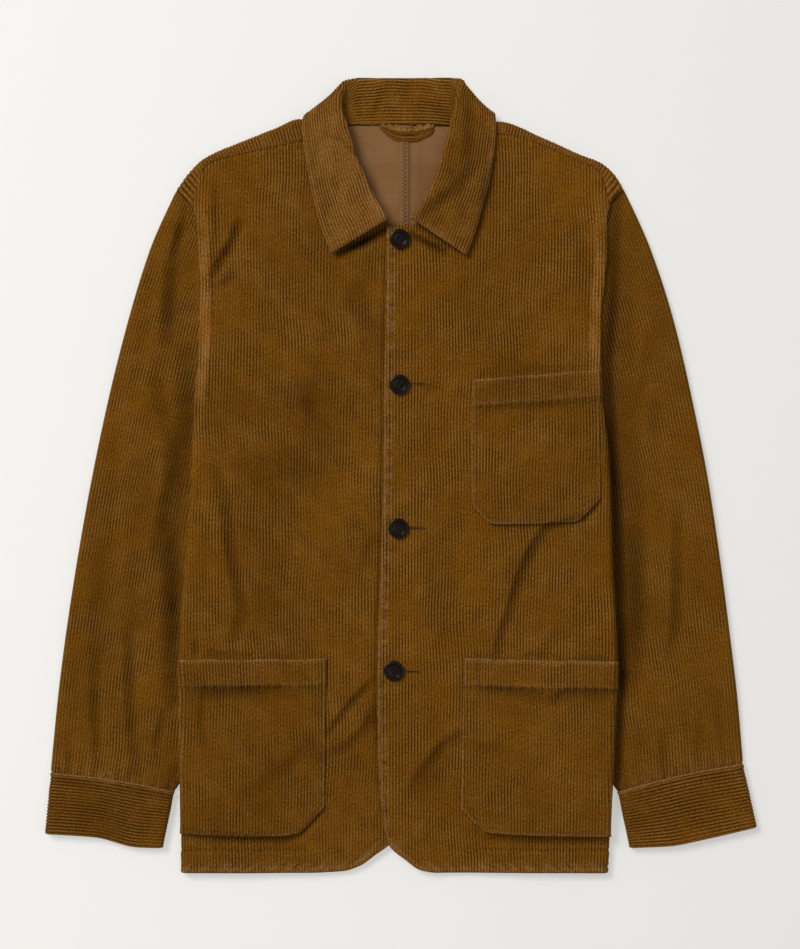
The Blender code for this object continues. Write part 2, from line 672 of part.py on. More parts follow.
def armhole_bend(side, part, inset):
    """How far the armhole's edge lies from the first line across the sleeve."""
    tip = SIDE[side][-1].height
    ends = [across_sleeve(side, 0, at).y for at in (0, 1)]
    share = mix(*[(tip - height) / (tip - UNDERARM) for height in ends], part)
    return Vector(armhole_along(side, share, inset)) - across_sleeve(side, 0, part)


def sleeve_ring(side, share):
    """One ring of a sleeve: over the top from the underarm fold, and back underneath."""
    outer, from_outer, inner, from_inner = sleeve_rolls(side, share)
    pull = max(0.0, 1 - share / ARMHOLE_REACH) ** 2

    def across(part, on_top):
        here = across_sleeve(side, share, part)
        bow = CUFF_SEAM_BOW * math.sin(math.pi * part) * step(share, 0.85, 1)
        inset = felled(mix(SIDE[side][-1].height, UNDERARM, part)) if on_top else 0.0
        return here + armhole_bend(side, part, inset - ARMHOLE_GAP) * pull + Vector((0, bow))

    def rolled(edge, way, angle):
        """A point round a rolled edge: angle 0 is on top and pi on the floor."""
        here = edge + way * SLEEVE_ROLL * (1 - math.sin(angle))
        top = sleeve_top(side, *(edge + way * SLEEVE_ROLL))
        return (*here, top / 2 * (1 + math.cos(angle)))

    turns = [math.pi * n / ROUND_STEPS for n in range(1, ROUND_STEPS)]
    ring = []
    for part in reversed(ACROSS_PARTS):
        here = across(part, on_top=True)
        ring.append((*here, sleeve_top(side, *here)))
    ring += [rolled(outer, from_outer, angle) for angle in turns]
    ring += [(*across(part, on_top=False), 0.0) for part in ACROSS_PARTS]
    ring += [rolled(inner, from_inner, angle) for angle in reversed(turns)]
    ring.append(ring[0])
    return [place(side, *point) for point in ring]


def sleeve(side):
    rows = [sleeve_ring(side, share) for share in SLEEVE_SHARES]
    name = "sleeve_" + SIDE_NAMES[side]
    mesh = surface(name, rows, face_down=side > 0, tube=True)
    return thickened(finished(name, mesh, "corduroy"), WALL, even=False)


def cuff_ring(side, down):
    """One ring of a cuff, a share of the way down from its seam."""
    outer = Vector((SLEEVE_OUTER[side][-1].out, SLEEVE_OUTER[side][-1].height))
    inner = Vector((SLEEVE_INNER[side][-1].out, SLEEVE_INNER[side][-1].height))

    def across(part):
        bow = CUFF_SEAM_BOW * math.sin(math.pi * part)
        top = outer.lerp(inner, part) + Vector((0, bow - BUTTED_GAP))
        bottom = Vector(outline_along(CUFF_BOTTOM[side], 1 - part))
        return top.lerp(bottom, down)

    roll = SLEEVE_ROLL / (across(1) - across(0)).length
    parts = [mix(roll, 1 - roll, part) for part in ACROSS_PARTS]
    turns = [math.pi * n / ROUND_STEPS for n in range(1, ROUND_STEPS)]
    ring = [(*across(part), CUFF_HEIGHT) for part in reversed(parts)]
    for angle in turns:
        here = across(roll * (1 - math.sin(angle)))
        ring.append((*here, CUFF_HEIGHT / 2 * (1 + math.cos(angle))))
    ring += [(*across(part), 0.0) for part in parts]
    for angle in reversed(turns):
        here = across(1 - roll * (1 - math.sin(angle)))
        ring.append((*here, CUFF_HEIGHT / 2 * (1 + math.cos(angle))))
    ring.append(ring[0])
    return [place(side, *point) for point in ring]


def cuff(side):
    rows = [cuff_ring(side, down) for down in CUFF_SHARES]
    name = "cuff_" + SIDE_NAMES[side]
    mesh = surface(name, rows, face_down=side > 0, tube=True)
    return thickened(finished(name, mesh, "corduroy_worn"), CUFF_WALL)


# ---- collar ------------------------------------------------------------------------------
def collar_sections():
    """The table's rows from one front end to the other, with points between them."""
    def points(side, row):
        return [Vector((side * row[i], row[i + 1], row[i + 2])) for i in (0, 3, 6)]

    stations = [points(WEARERS_RIGHT, row) for row in reversed(COLLAR[WEARERS_RIGHT])]
    stations += [points(WEARERS_LEFT, row) for row in COLLAR[WEARERS_LEFT]]
    keys = list(range(len(stations)))
    sections = []
    for n in range((len(stations) - 1) * BETWEEN_STATIONS + 1):
        at = n / BETWEEN_STATIONS
        sections.append([
            Vector([smooth_through(keys, [s[line][axis] for s in stations], at)
                    for axis in range(3)]) for line in range(3)])
    return sections


def collar_section(seam, fold, edge):
    """The middle of the cloth from the neck seam, round the fold, to the leaf's edge."""
    back = (fold - (seam + edge) / 2).normalized()
    apart = edge - seam
    apart = (apart - back * apart.dot(back)).normalized()
    radius = min(COLLAR_FOLD_RADIUS, (edge - seam).length)
    centre = fold - back * radius
    turn = [centre + back * radius * math.cos(math.radians(a))
            + apart * radius * math.sin(math.radians(a)) for a in FOLD_ANGLES]
    stand = [seam.lerp(turn[0], part) for part in STAND_PARTS]
    leaf = [turn[-1].lerp(edge, part) for part in LEAF_PARTS]
    return [Vector((p.x, HEM_LINE + p.y, p.z)) * MM for p in stand + turn + leaf]


def collar():
    rows = [collar_section(*section) for section in collar_sections()]
    mesh = surface("collar", rows)
    return thickened(finished("collar", mesh, "corduroy_worn"), DOUBLE_WALL, offset=0.0)


# ---- pockets, buttons and the loop -------------------------------------------------------
def pocket(name, side, inner, outer, mouth, bottom, chamfer, band):
    """A patch with its top band and its two lower corners cut off, moved out of the front."""
    inner_chamfer, inner_rise, outer_chamfer, outer_rise = chamfer

    parts = [n / POCKET_ACROSS for n in range(POCKET_ACROSS + 1)]
    angles = [] if outer else [a for a in ROLL_ANGLES if a < 90]
    rows = []
    for down in POCKET_DOWN:
        row = []
        for part, angle in [(p, 0) for p in parts] + [(1, a) for a in angles]:
            low, high = mix(*bottom, part), mix(*mouth, part)
            height = mix(high, low, down)
            left = mix(*inner, down)
            right = mix(*outer, down) if outer else side_edge(side, height) - EDGE_ROLL
            cut = max(0.0, low + inner_rise - height) / inner_rise
            right_cut = max(0.0, low + outer_rise - height) / outer_rise if outer_rise else 0
            left, right = left + cut * inner_chamfer, right - right_cut * outer_chamfer
            out = mix(left, right, part) + EDGE_ROLL * math.sin(math.radians(angle))
            folded = POCKET_BAND_RISE * (1 - step(high - height, band - 3, band + 6))
            row.append(on_front(side, out, height, LAY_GAP + WALL + folded))
        rows.append(row)
    mesh = surface(name, rows, face_down=side > 0)
    return thickened(finished(name, mesh, "corduroy"), WALL)


def button(number, x, height):
    """A turned disc with a raised rim and four holes."""
    mesh = bpy.data.meshes.new(f"button_{number}")
    mesh.from_pydata([(share * BUTTON_RADIUS * MM, 0, (BUTTON_THICK - below) * MM)
                      for share, below in BUTTON_PROFILE],
                     [(i, i + 1) for i in range(len(BUTTON_PROFILE) - 1)], [])
    piece = finished(f"button_{number}", mesh, "horn_black")
    base = front_top(WEARERS_LEFT, x, height) + LAY_GAP
    piece.location = place(1, x, height, base)
    turn = piece.modifiers.new("Turned", "SCREW")
    turn.steps = turn.render_steps = BUTTON_STEPS
    turn.use_merge_vertices = True
    turn.merge_threshold = 1e-5
    holes = piece.modifiers.new("Holes", "BOOLEAN")
    holes.object = button_holes(number, piece.location)
    return piece


def button_holes(number, centre):
    """The cutter for a button's four holes."""
    pins = bmesh.new()
    for across in (-1, 1):
        for along in (-1, 1):
            made = bmesh.ops.create_cone(
                pins, cap_ends=True, segments=HOLE_SIDES, radius1=HOLE_RADIUS * MM,
                radius2=HOLE_RADIUS * MM, depth=3 * BUTTON_THICK * MM)
            shift = Vector((across, along, 0)) * HOLE_SPREAD * MM
            bmesh.ops.translate(pins, verts=made["verts"], vec=shift)
    mesh = bpy.data.meshes.new(f"holes_{number}")
    pins.to_mesh(mesh)
    pins.free()
    cutter = bpy.data.objects.new(f"holes_{number}", mesh)
    cutter.location = centre + Vector((0, 0, BUTTON_THICK / 2)) * MM
    cutter.hide_render = True
    cutter.display_type = "WIRE"
    CUTTERS.objects.link(cutter)
    return cutter


def hanger_loop():
    """A flat sewn tube that hangs from the neck seam in a shallow curve."""
    up = Vector((0, 0, 1))
    rows = []
    for share in (n / LOOP_STEPS for n in range(LOOP_STEPS + 1)):
        here = Vector(run_along(LOOP_RUN, share))
        ahead = Vector(run_along(LOOP_RUN, min(share + 0.02, 1)))
        behind = Vector(run_along(LOOP_RUN, max(share - 0.02, 0)))
        across = (ahead - behind).cross(up).normalized()
        ring = []
        for corner in range(LOOP_SIDES + 1):
            angle = 2 * math.pi * (corner % LOOP_SIDES) / LOOP_SIDES
            point = (here + across * LOOP_HALF_WIDTH * math.cos(angle)
                     + up * LOOP_HALF_THICK * math.sin(angle))
            ring.append(Vector((point.x, HEM_LINE + point.y, point.z)) * MM)
        rows.append(ring)
    mesh = surface("hanger_loop", rows, tube=True, end=True, face_down=True)
    return finished("hanger_loop", mesh, "corduroy_worn")


# ---- the jacket --------------------------------------------------------------------------
for old in list(bpy.data.objects):
    bpy.data.objects.remove(old, do_unlink=True)
JACKET = collection_named("corduroy_jacket")
CUTTERS = collection_named("cutters")

for wearers_side in (WEARERS_RIGHT, WEARERS_LEFT):
    back_panel(wearers_side)
    front_panel(wearers_side)
    sleeve(wearers_side)
    cuff(wearers_side)
collar()
for pocket_name, sizes in POCKETS.items():
    pocket(pocket_name, **sizes)
for count, spot in enumerate(BUTTONS, 1):
    button(count, spot.x, spot.height)
hanger_loop()
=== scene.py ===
# %% [markdown]
# # A corduroy jacket, laid flat on its back
# The imported solids hold the jacket's size and lay. This lesson dresses them: every panel is
# cut again as a thin cloth with real ribs, sewn with thread, and finished with nap, wear and
# painted light and shade.
# All sizes in the tables are in millimetres, and +Y runs from the hem to the collar.

import math

import bmesh
import bpy
import numpy as np
from mathutils import Matrix, Vector, geometry


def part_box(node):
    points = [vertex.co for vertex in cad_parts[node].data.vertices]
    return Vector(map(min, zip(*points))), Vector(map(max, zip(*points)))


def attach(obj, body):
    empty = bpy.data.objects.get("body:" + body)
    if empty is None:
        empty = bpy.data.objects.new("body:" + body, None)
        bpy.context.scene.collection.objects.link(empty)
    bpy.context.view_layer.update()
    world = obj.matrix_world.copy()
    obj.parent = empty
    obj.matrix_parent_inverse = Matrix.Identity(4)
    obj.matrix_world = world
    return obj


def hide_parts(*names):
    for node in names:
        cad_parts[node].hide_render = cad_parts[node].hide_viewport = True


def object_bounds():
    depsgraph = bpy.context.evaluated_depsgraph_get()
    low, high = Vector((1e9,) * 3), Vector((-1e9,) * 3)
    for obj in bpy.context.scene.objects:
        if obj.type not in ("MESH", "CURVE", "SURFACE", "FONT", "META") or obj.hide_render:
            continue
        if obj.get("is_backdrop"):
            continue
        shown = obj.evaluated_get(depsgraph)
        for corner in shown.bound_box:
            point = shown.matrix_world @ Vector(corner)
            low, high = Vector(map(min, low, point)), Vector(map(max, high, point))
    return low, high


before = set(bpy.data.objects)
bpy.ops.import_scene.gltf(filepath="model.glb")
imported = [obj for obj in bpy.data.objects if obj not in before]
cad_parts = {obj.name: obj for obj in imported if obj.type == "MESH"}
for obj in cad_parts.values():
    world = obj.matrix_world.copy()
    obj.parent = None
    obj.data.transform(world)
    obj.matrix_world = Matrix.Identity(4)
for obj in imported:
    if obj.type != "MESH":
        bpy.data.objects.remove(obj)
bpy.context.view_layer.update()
MM = 0.001
RIGHT, LEFT = -1, 1                       # the wearer's sides; left is at +X
SIDES = (RIGHT, LEFT)
NAMES = {RIGHT: "right", LEFT: "left"}
print("solids:", ", ".join(sorted(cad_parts)))

# %% [markdown]
# ## Camera, floor and light
# A jacket is drawn flat to show its cut, so the camera looks straight down from over two
# metres with a long lens, and a millimetre of cloth is one pixel. The floor is a light table.
# One large soft light stands low, up and to the left, so that every rib and fold has a lit
# side and every edge a shadow, and a pale sky fills the shadows. Tones are shown as they are
# (the Standard view), so a brown in the tables is the brown in the picture.

# %% Camera
IMAGE_HIGH = 949                          # pixels, and as many millimetres of floor
SENSOR, LENS = 36.0, 85.0
OUTLINE_HEIGHT = 5.0      # the outline lies this high, so it is what fills the frame to scale
AIM = Vector((-1.0, 0.3, 0.0)) * MM


def put(name, data):
    """A new object, in the scene."""
    piece = bpy.data.objects.new(name, data)
    bpy.context.scene.collection.objects.link(piece)
    return piece


camera_data = bpy.data.cameras.new("camera")
camera_data.sensor_width = SENSOR
camera_data.lens = LENS
camera = put("camera", camera_data)
camera.location = AIM + Vector((0, 0, IMAGE_HIGH * LENS / SENSOR + OUTLINE_HEIGHT)) * MM
bpy.context.scene.camera = camera
print("camera height, m:", round(camera.location.z, 3))

# %% Lights and sky
SKY_COLOUR, SKY_STRENGTH = (0.98, 0.975, 0.97, 1), 0.37


def area_light(name, place, size, watts, colour):
    lamp = bpy.data.lights.new(name, "AREA")
    lamp.shape = "DISK"
    lamp.size, lamp.energy, lamp.color = size, watts, colour
    holder = put(name, lamp)
    holder.location = place
    holder.rotation_euler = (-Vector(place)).to_track_quat("-Z", "Y").to_euler()


area_light("window", (-3.5, 3.5, 5.5), 3.2, 390, (1.0, 0.985, 0.955))
area_light("fill", (1.2, -0.2, 2.8), 2.0, 9, (0.95, 0.96, 1.0))
world = bpy.data.worlds.new("pale_sky")
world.use_nodes = True
sky = world.node_tree.nodes["Background"].inputs
sky["Color"].default_value, sky["Strength"].default_value = SKY_COLOUR, SKY_STRENGTH
bpy.context.scene.world = world
bpy.context.scene.view_settings.view_transform = "Standard"

# %% [markdown]
# ## Sizes
# These are the jacket's own sizes, as its solids have them: the outline of each panel, the
# edges of each layer, and how high the layers lie. "out" is the distance from the centre
# line and height the distance above the hem line. Only the underarm folds differ: they run
# up to 12 mm further in under the body than the solids' do, so that no gap shows there.

# %% The lay
HEM_LINE = -397.2
WALL, DOUBLE_WALL, CUFF_WALL = 1.8, 2.6, 2.8
SEAM_GAP, LAY_GAP, BUTTED_GAP, ARMHOLE_GAP, FELL_GAP = 0.3, 0.5, 0.5, 0.6, 0.8
BODY_HEIGHT, SLEEVE_HEIGHT, TUCK_HEIGHT, CUFF_HEIGHT = 11.0, 9.6, 6.6, 11.0
TUCK_LIFT, TUCK_OUT, TUCK_FROM_HEM = 7.0, (90, 172), (0, 95)
BACK_TUCK_END, FRONT_TUCK_END = (418, 462), (380, 500)
NECK_LIFT, NECK_TOP_RISE, NECK_OUT, NECK_HEIGHT = 3.0, 2.0, (98, 150), (690, 727)
OVERLAP_RISE, OVERLAP_FADE = WALL + 0.6, (20, 46)
HEM_SAG, HEM_SAG_HEIGHT, HEM_SAG_OUT = 3.0, (0, 100), (70, 190)
SEAM_ENDS, EDGE_ROLL, SHOULDER_ROLL, SLEEVE_ROLL = (416, 460), 6.0, 5.0, 5.0
UNDERARM, FELL, FELL_TOP, FELL_LOW = 458.0, 12.0, (622, 658), (464, 505)
SLEEVE_RISE_HEIGHT, SLEEVE_RISE_OUT = (432, UNDERARM), (6, 28)
CENTRE_BACK, NECK_POINT, NECK_BEND = 8.0, 71.0, 7.0
BACK_HEM_SIDE, BACK_HEM_MIDDLE, BACK_HEM_CURVE = 1.0, 31.0, (80, 200)
CUFF_SEAM_BOW = 2.5

# %% Outlines of the panels, each row (height, out)
SIDE = {
    RIGHT: ((0, 219.4), (112, 220.5), (212, 221), (312, 215), (392, 209), (443, 208),
            (472, 205.5), (520, 202.3), (558, 200.4), (612, 201.5), (644, 203.3), (665, 208),
            (673, 216), (682, 224.3)),
    LEFT: ((0, 206.5), (37, 208.7), (126, 212.6), (212, 216), (312, 211), (352, 210),
           (413, 208), (455, 203), (472, 200.5), (552, 199), (590, 203), (618, 205.5),
           (646, 205), (662, 207), (672, 214), (684, 222)),
}
FRONT_EDGE = {
    RIGHT: ((0, -16), (640, -16)),
    LEFT: ((0, -21), (72, -21), (122, -23), (172, -24), (232, -23), (312, -20), (372, -18),
           (472, -17), (572, -15), (645, -15)),
}
FRONT_HEM = {
    RIGHT: ((84, -16), (44, 0), (28, 12), (18, 25.4), (6.5, 42), (1.5, 59), (0, 95),
            (0, 219.4)),
    LEFT: ((76, -21), (47, -17), (28, -12), (14.4, 3), (2.5, 21), (0, 38), (0, 206.5)),
}
NECKLINE = {
    RIGHT: ((640, -16), (642, -3), (646, 13), (658, 33), (675, 51), (697, 63), (722, 69),
            (738, 71)),
    LEFT: ((645, -15), (646, 10), (659, 30), (676, 46), (697, 58), (718, 65), (738, 71)),
}
SHOULDER = {   # (out, height, turn, width): the shoulder line, and the flap that wraps it
    RIGHT: ((-10, 746, 0, 8), (71, 746, 0, 8), (84, 748, 4, 13), (95, 750, 10, 20),
            (101, 752.6, 14, 22), (126, 743.2, 17, 18), (161, 729.5, 22, 12),
            (196, 713.8, 33, 7), (211, 700, 40, 14), (224.3, 682, 43.5, 23.4)),
    LEFT: ((-10, 746, 0, 8), (71, 745, 0, 8), (84, 747, 3, 10), (97, 750, 8, 12),
           (143, 733.4, 20, 7), (179, 717.3, 27, 6.4), (199, 709.6, 32, 7),
           (212, 699, 38, 14), (222, 684, 40, 22)),
}
SLEEVE_OUTER = {
    RIGHT: ((680.8, 225.1), (622, 251), (522, 280.5), (422, 303.5), (302, 325.3), (192, 341),
            (100, 350.4)),
    LEFT: ((682.8, 222.8), (622, 249.8), (552, 272.4), (472, 291.2), (392, 307), (312, 319.1),
           (232, 329.5), (172, 336.6), (109, 342)),
}
SLEEVE_INNER = {
    RIGHT: ((458, 205.5), (444, 201.5), (430, 197), (398, 191), (366, 185), (310, 178), (230, 176),
            (160, 188), (110, 208), (81, 225.5)),
    LEFT: ((458, 201.5), (444, 198.5), (430, 195.5), (398, 189), (366, 183), (310, 176), (230, 174),
           (160, 182), (110, 200), (80.6, 215.6)),
}
CUFF_BOTTOM = {
    RIGHT: ((25, 237), (26, 263), (36, 306), (39.3, 356.1)),
    LEFT: ((25, 227.5), (27, 268), (33.5, 302), (46, 356.0)),
}

# %% [markdown]
# ## Folds
# Cloth that lies still keeps a few soft folds where something pulls on it: at the armhole,
# below a pocket, from a button. Each is given as a run of points, with its half
# width and its depth (a ridge has a negative depth). No two are alike.

# %% Folds, each (run of (out, height), half width, depth)
BODY_FOLDS = {
    RIGHT: (
        (((160, 649), (169, 627), (179, 610), (187, 596)), 7.5, 4.8),       # from the armhole
        (((152, 640), (163, 612), (170, 596)), 10, -0.8),
        (((190, 583), (176, 587), (167, 596)), 6.5, 2.8),
        (((184, 694), (184, 660), (183, 630)), 6, 1.8),
        (((185, 404), (174, 372), (169, 332), (163, 292), (156, 257), (165, 234)), 10, 3.6),
        (((190, 390), (184, 330), (178, 270)), 13, -0.8),
        (((27, 191), (46, 172), (72, 138)), 6.5, 3.9),                      # from a button
        (((20, 178), (38, 156), (60, 128)), 8, -0.8),
        (((78, 113), (51, 127), (30, 147), (26, 172)), 9, 2.4),
        (((188, 219), (178, 217), (150, 217)), 5.5, 3.1),                   # behind a mouth
        (((203, 232), (204, 214)), 6, 2.2), (((120, 216), (92, 216)), 5, 1.3),
        (((196, 182), (166, 181), (118, 184)), 6.5, 2.4),                   # below a band
        (((196, 176), (198, 150), (194, 126)), 6, 2),
        (((146, 84), (116, 102), (90, 128)), 11, 2.1),
        (((216, 36), (150, 33), (116, 32), (101, 37), (82, 58)), 5.5, 3.1),  # below a pocket
        (((31, 606), (44, 572), (28, 530)), 14, 1.3),
        (((60, 560), (78, 500), (90, 430)), 30, 1.3), (((116, 330), (128, 280), (140, 236)), 18, 1.1),
        (((24, 474), (46, 468), (60, 458)), 8, 1.1), (((22, 332), (34, 318), (40, 296)), 9, 1.3),
        (((12, 76), (20, 60), (24, 44)), 7, 1.3), (((100, 482), (90, 464)), 12, 1.1),
    ),
    LEFT: (
        (((182, 353), (160, 348), (145, 344), (130, 322), (119, 297), (109, 262), (99, 232),
          (95, 214)), 7, 4.3),                                              # from a pocket
        (((150, 336), (140, 296), (128, 250)), 13, -1),
        (((60, 138), (44, 127), (29, 110), (13, 86)), 8.5, 3.6),
        (((58, 118), (40, 92)), 9, -0.7), (((64, 182), (61, 152)), 8, 1.5),
        (((160, 246), (143, 220)), 9, 1.3), (((24, 484), (40, 481)), 8, 1.7),
        (((47, 276), (46, 234)), 9, 1.4), (((55, 376), (53, 308)), 10, 1.3),
        (((77, 219), (78, 190)), 5, 1.8), (((116, 216), (156, 216)), 5, 2.1),
        (((176, 215), (206, 213)), 5, 2), (((80, 499), (140, 502), (196, 505)), 5, 1.3),
        (((78, 184), (139, 180)), 6, 2), (((150, 172), (163, 181), (206, 181)), 6, 2.2),
        (((96, 163), (130, 156)), 11, 1.4), (((72, 126), (104, 122)), 10, 1.3),
        (((82, 34), (140, 32), (206, 32)), 5.5, 3.1), (((59, 74), (77, 52), (77, 26)), 5, 1.4),
        (((90, 344), (146, 343)), 4.5, 1.7), (((182, 352), (198, 371)), 4.5, 1.8),
        (((78, 462), (138, 465), (196, 470)), 5, 1.7), (((104, 560), (120, 520), (108, 480)), 24, 1.3),
        (((40, 310), (58, 270), (62, 232)), 16, 0.8), (((176, 640), (184, 600), (182, 560)), 12, 1.4),
    ),
}
SLEEVE_FOLDS = {
    RIGHT: (
        (((216, 658), (221, 637), (226, 617)), 6.5, 4.5),
        (((228, 612), (231, 572), (233, 530)), 11, 3.1),
        (((213, 512), (214, 470), (217, 400)), 13, 2.2),
        (((243, 490), (236, 462), (229, 422), (226, 392)), 12, 2.8),
        (((230, 396), (236, 362), (243, 332), (241, 308)), 10, 2.8),
        (((233, 345), (228, 290), (230, 230), (231, 180)), 13, 3.1),
        (((229, 276), (227, 258)), 7, 2), (((225, 176), (236, 157), (243, 130)), 7, 3.4),
        (((226, 110), (230, 84)), 6, 3.4), (((304, 214), (304, 150), (302, 102)), 9, 2.2),
        (((271, 234), (270, 170), (264, 98)), 9, 2.8), (((331, 134), (331, 102)), 7, 2.1),
        (((292, 330), (300, 250), (296, 200)), 16, 1.3),
        (((258, 600), (270, 520), (284, 440)), 14, -0.8),
    ),
    LEFT: (
        (((249, 534), (244, 492), (239, 470)), 9, 1.7), (((255, 464), (254, 430)), 11, 1.7),
        (((277, 356), (276, 282), (276, 252), (270, 218)), 9, 3.1),
        (((232, 334), (235, 260), (229, 196)), 20, 3.1), (((299, 156), (297, 110)), 8, 1.8),
        (((252, 620), (262, 540), (258, 500)), 14, 1.3), (((263, 142), (262, 96)), 8, 2.1),
        (((240, 150), (236, 98)), 8, 1.5), (((282, 180), (288, 130)), 9, 1.3),
        (((262, 420), (268, 380)), 13, -0.7), (((318, 170), (322, 118)), 8, 1.3),
    ),
}
SIDE_TROUGH = {RIGHT: 0.8, LEFT: 1.6}       # a sleeve's hollow beside the body, and its shares
SIDE_TROUGH_OUT = ((0, 3), (4, 16))

# %% Brushed pile and painted shade, each (run of (x, height), half width, paler or, below 0, darker)
FOLD_SHADE = 0.09        # painted shade: how much darker a fold is painted, for each mm of its depth
GROOVE_SHADE = 0.3       # and a stitched groove
NAP_AND_SHADE = (
    # painted shadow of the body's edges on the sleeves beside it
    (((216, 672), (212, 630), (211, 580), (208, 540), (205, 510), (207, 470), (210, 430),
      (214, 380), (216, 320), (218, 260), (220, 200), (217, 150), (213, 95)), 10, -0.60),
    (((224, 640), (218, 560), (220, 480), (230, 330), (232, 250), (226, 190)), 20, -0.24),
    (((-213, 520), (-216, 460), (-225, 400), (-232, 330), (-230, 240), (-232, 180)), 15, -0.27),
    (((-222, 640), (-230, 570), (-232, 530)), 13, -0.24),
    (((-246, 500), (-258, 420), (-262, 330), (-272, 240), (-276, 150)), 14, -0.11),
    (((-286, 420), (-302, 320), (-306, 220), (-310, 130)), 13, -0.12),
    (((-240, 560), (-262, 480), (-280, 400)), 12, 0.10), (((-318, 250), (-328, 170)), 12, -0.10),
    (((-190, 460), (-140, 462), (-92, 470), (-80, 440), (-100, 405), (-150, 400)), 34, -0.17),
    (((-155, 414), (-100, 404), (-60, 400)), 20, -0.12),
    # painted shade along two folds of the right front
    (((-30, 612), (-44, 572), (-28, 528)), 17, -0.16), (((-98, 484), (-88, 462)), 13, -0.14),
    (((-345, 64), (-240, 50)), 40, -0.30), (((-348, 96), (-300, 86), (-236, 80)), 7, -0.14),
    (((232, 55), (312, 74)), 32, -0.20), (((226, 40), (240, 70)), 16, -0.12),
    (((-200, 690), (-196, 640), (-196, 580), (-195, 520), (-200, 470), (-205, 400)), 9, 0.38),
    (((194, 680), (194, 640), (195, 600), (193, 540), (196, 480)), 8, 0.30),
    (((-76, 742), (-70, 690), (-62, 650)), 26, 0.12), (((-40, 278), (-42, 312)), 18, 0.09),
    (((-20, 430), (-36, 400), (-60, 360)), 21, 0.10), (((5, 342), (12, 280), (10, 220)), 14, 0.13),
    (((116, 432), (152, 420)), 30, 0.09), (((78, 436), (76, 380)), 10, 0.13),
    (((-48, 544), (-62, 522)), 17, 0.12), (((-206, 344), (-208, 290)), 12, 0.13),
    # painted shade on the roll of the collar's left leaf
    (((60, 722), (50, 690), (25, 655)), 17, -0.18), (((84, 745), (80, 690), (72, 640)), 22, -0.08),
    (((90, 600), (60, 560), (120, 480)), 26, -0.09),
    (((-208, 184), (-150, 180), (-110, 183)), 13, -0.26),      # painted shade below the pockets' bands
    (((78, 184), (130, 176), (206, 180)), 11, -0.22),
    # painted shadow below the lower pockets
    (((-206, 40), (-160, 34), (-110, 34)), 9, -0.24), (((92, 36), (150, 32), (206, 34)), 8, -0.24),
    (((-110, 250), (-130, 310)), 24, -0.08), (((-30, 130), (-30, 160)), 12, -0.14),
    (((44, 108), (14, 84)), 20, -0.16), (((-40, 96), (-58, 110), (-96, 128)), 14, -0.14),
    (((112, 270), (126, 320)), 26, -0.12), (((150, 300), (158, 250)), 30, 0.07),
    (((30, 300), (40, 240)), 12, -0.12), (((62, 330), (70, 250)), 11, 0.08),
    (((-61, 618), (-40, 628), (-18, 641)), 6, -0.95),          # painted shadow under the collar's points
    (((10, 637), (27, 628), (44, 620)), 5.5, -0.8),
    (((-23.5, 80), (-26, 150), (-26.5, 172), (-25.5, 232), (-22.5, 312), (-20.5, 372), (-19.5, 472),
      (-17.5, 572), (-17.5, 640)), 2.8, -0.34),               # painted shadow under the front edge
    # painted shadow beside the outer edge of the collar's left leaf
    (((93, 712), (84, 688), (80, 662), (67, 622)), 5, -0.35),
    (((12, 745), (14, 700), (18, 655)), 15, -0.16), (((-10, 742), (-50, 742)), 9, -0.12),
    # painted shade in the creases of the collar's stand
    (((-38, 790), (-44, 768), (-40, 752)), 5, -0.16), (((-15, 791), (-22, 770), (-30, 756)), 5, -0.14),
    (((20, 768), (44, 760)), 9, -0.12), (((-190, 730), (-120, 748)), 22, 0.08),
)

# %% [markdown]
# ## Numbers that bend
# A table gives a few measured points, and cloth runs smoothly through them. A monotone curve
# never swings past its points, so an outline stays where it was measured. Everything works on
# whole arrays, because a panel of ribbed cloth has tens of thousands of points.

# %% Steps and curves


def step(value, start, end):
    """0 before start, 1 after end, and smooth between them."""
    share = np.clip((value - start) / (end - start), 0.0, 1.0)
    return share * share * (3 - 2 * share)


def mix(first, second, share):
    return first + (second - first) * share


def hump(x, at, half, power=2):
    """1 at a place, and falling softly to 0 on both sides of it."""
    return np.exp(-((x - at) / half) ** power)


def arch(share):
    """0 at both ends of a share, and 1 in its middle."""
    return np.sin(np.pi * np.clip(share, 0, 1))


def quarter(share):
    """The angle at a share of a quarter turn."""
    return np.clip(share, 0, 1) * np.pi / 2


def unit(vectors):
    return vectors / np.maximum(np.linalg.norm(vectors, axis=1), 1e-9)[:, None]


def travelled(x, y):
    """The way gone so far at each point of a run."""
    return np.concatenate(([0], np.cumsum(np.hypot(np.diff(x), np.diff(y)))))


def curve(rows, key=0, value=1):
    """A smooth curve through two columns of a table, held level past its ends."""
    rows = sorted(rows, key=lambda row: row[key])
    keys = np.array([row[key] for row in rows], float)
    values = np.array([row[value] for row in rows], float)
    gaps = np.diff(keys)
    slopes = np.diff(values) / gaps
    before, after = slopes[:-1], slopes[1:]
    total = np.where(before + after == 0, 1, before + after)
    middle = np.where(before * after > 0, 2 * before * after / total, 0)
    ends = np.concatenate(([slopes[0]], middle, [slopes[-1]]))

    def at(x):
        x = np.clip(x, keys[0], keys[-1])
        i = np.clip(np.searchsorted(keys, x, side="right") - 1, 0, len(gaps) - 1)
        t = (x - keys[i]) / gaps[i]
        return (values[i] * (1 + 2 * t) * (1 - t) ** 2 + values[i + 1] * t * t * (3 - 2 * t)
                + gaps[i] * (ends[i] * t * (1 - t) ** 2 - ends[i + 1] * t * t * (1 - t)))
    return at


def nearest_on(run, x, y):
    """How far each point is from a run of straight pieces, and the share along it."""
    best, share = np.full(np.shape(x), np.inf), np.zeros(np.shape(x))
    for i, ((ax, ay), (bx, by)) in enumerate(zip(run, run[1:])):
        dx, dy = bx - ax, by - ay
        t = np.clip(((x - ax) * dx + (y - ay) * dy) / (dx * dx + dy * dy), 0, 1)
        away = np.hypot(x - ax - dx * t, y - ay - dy * t)
        share = np.where(away < best, (i + t) / (len(run) - 1), share)
        best = np.minimum(best, away)
    return best, share


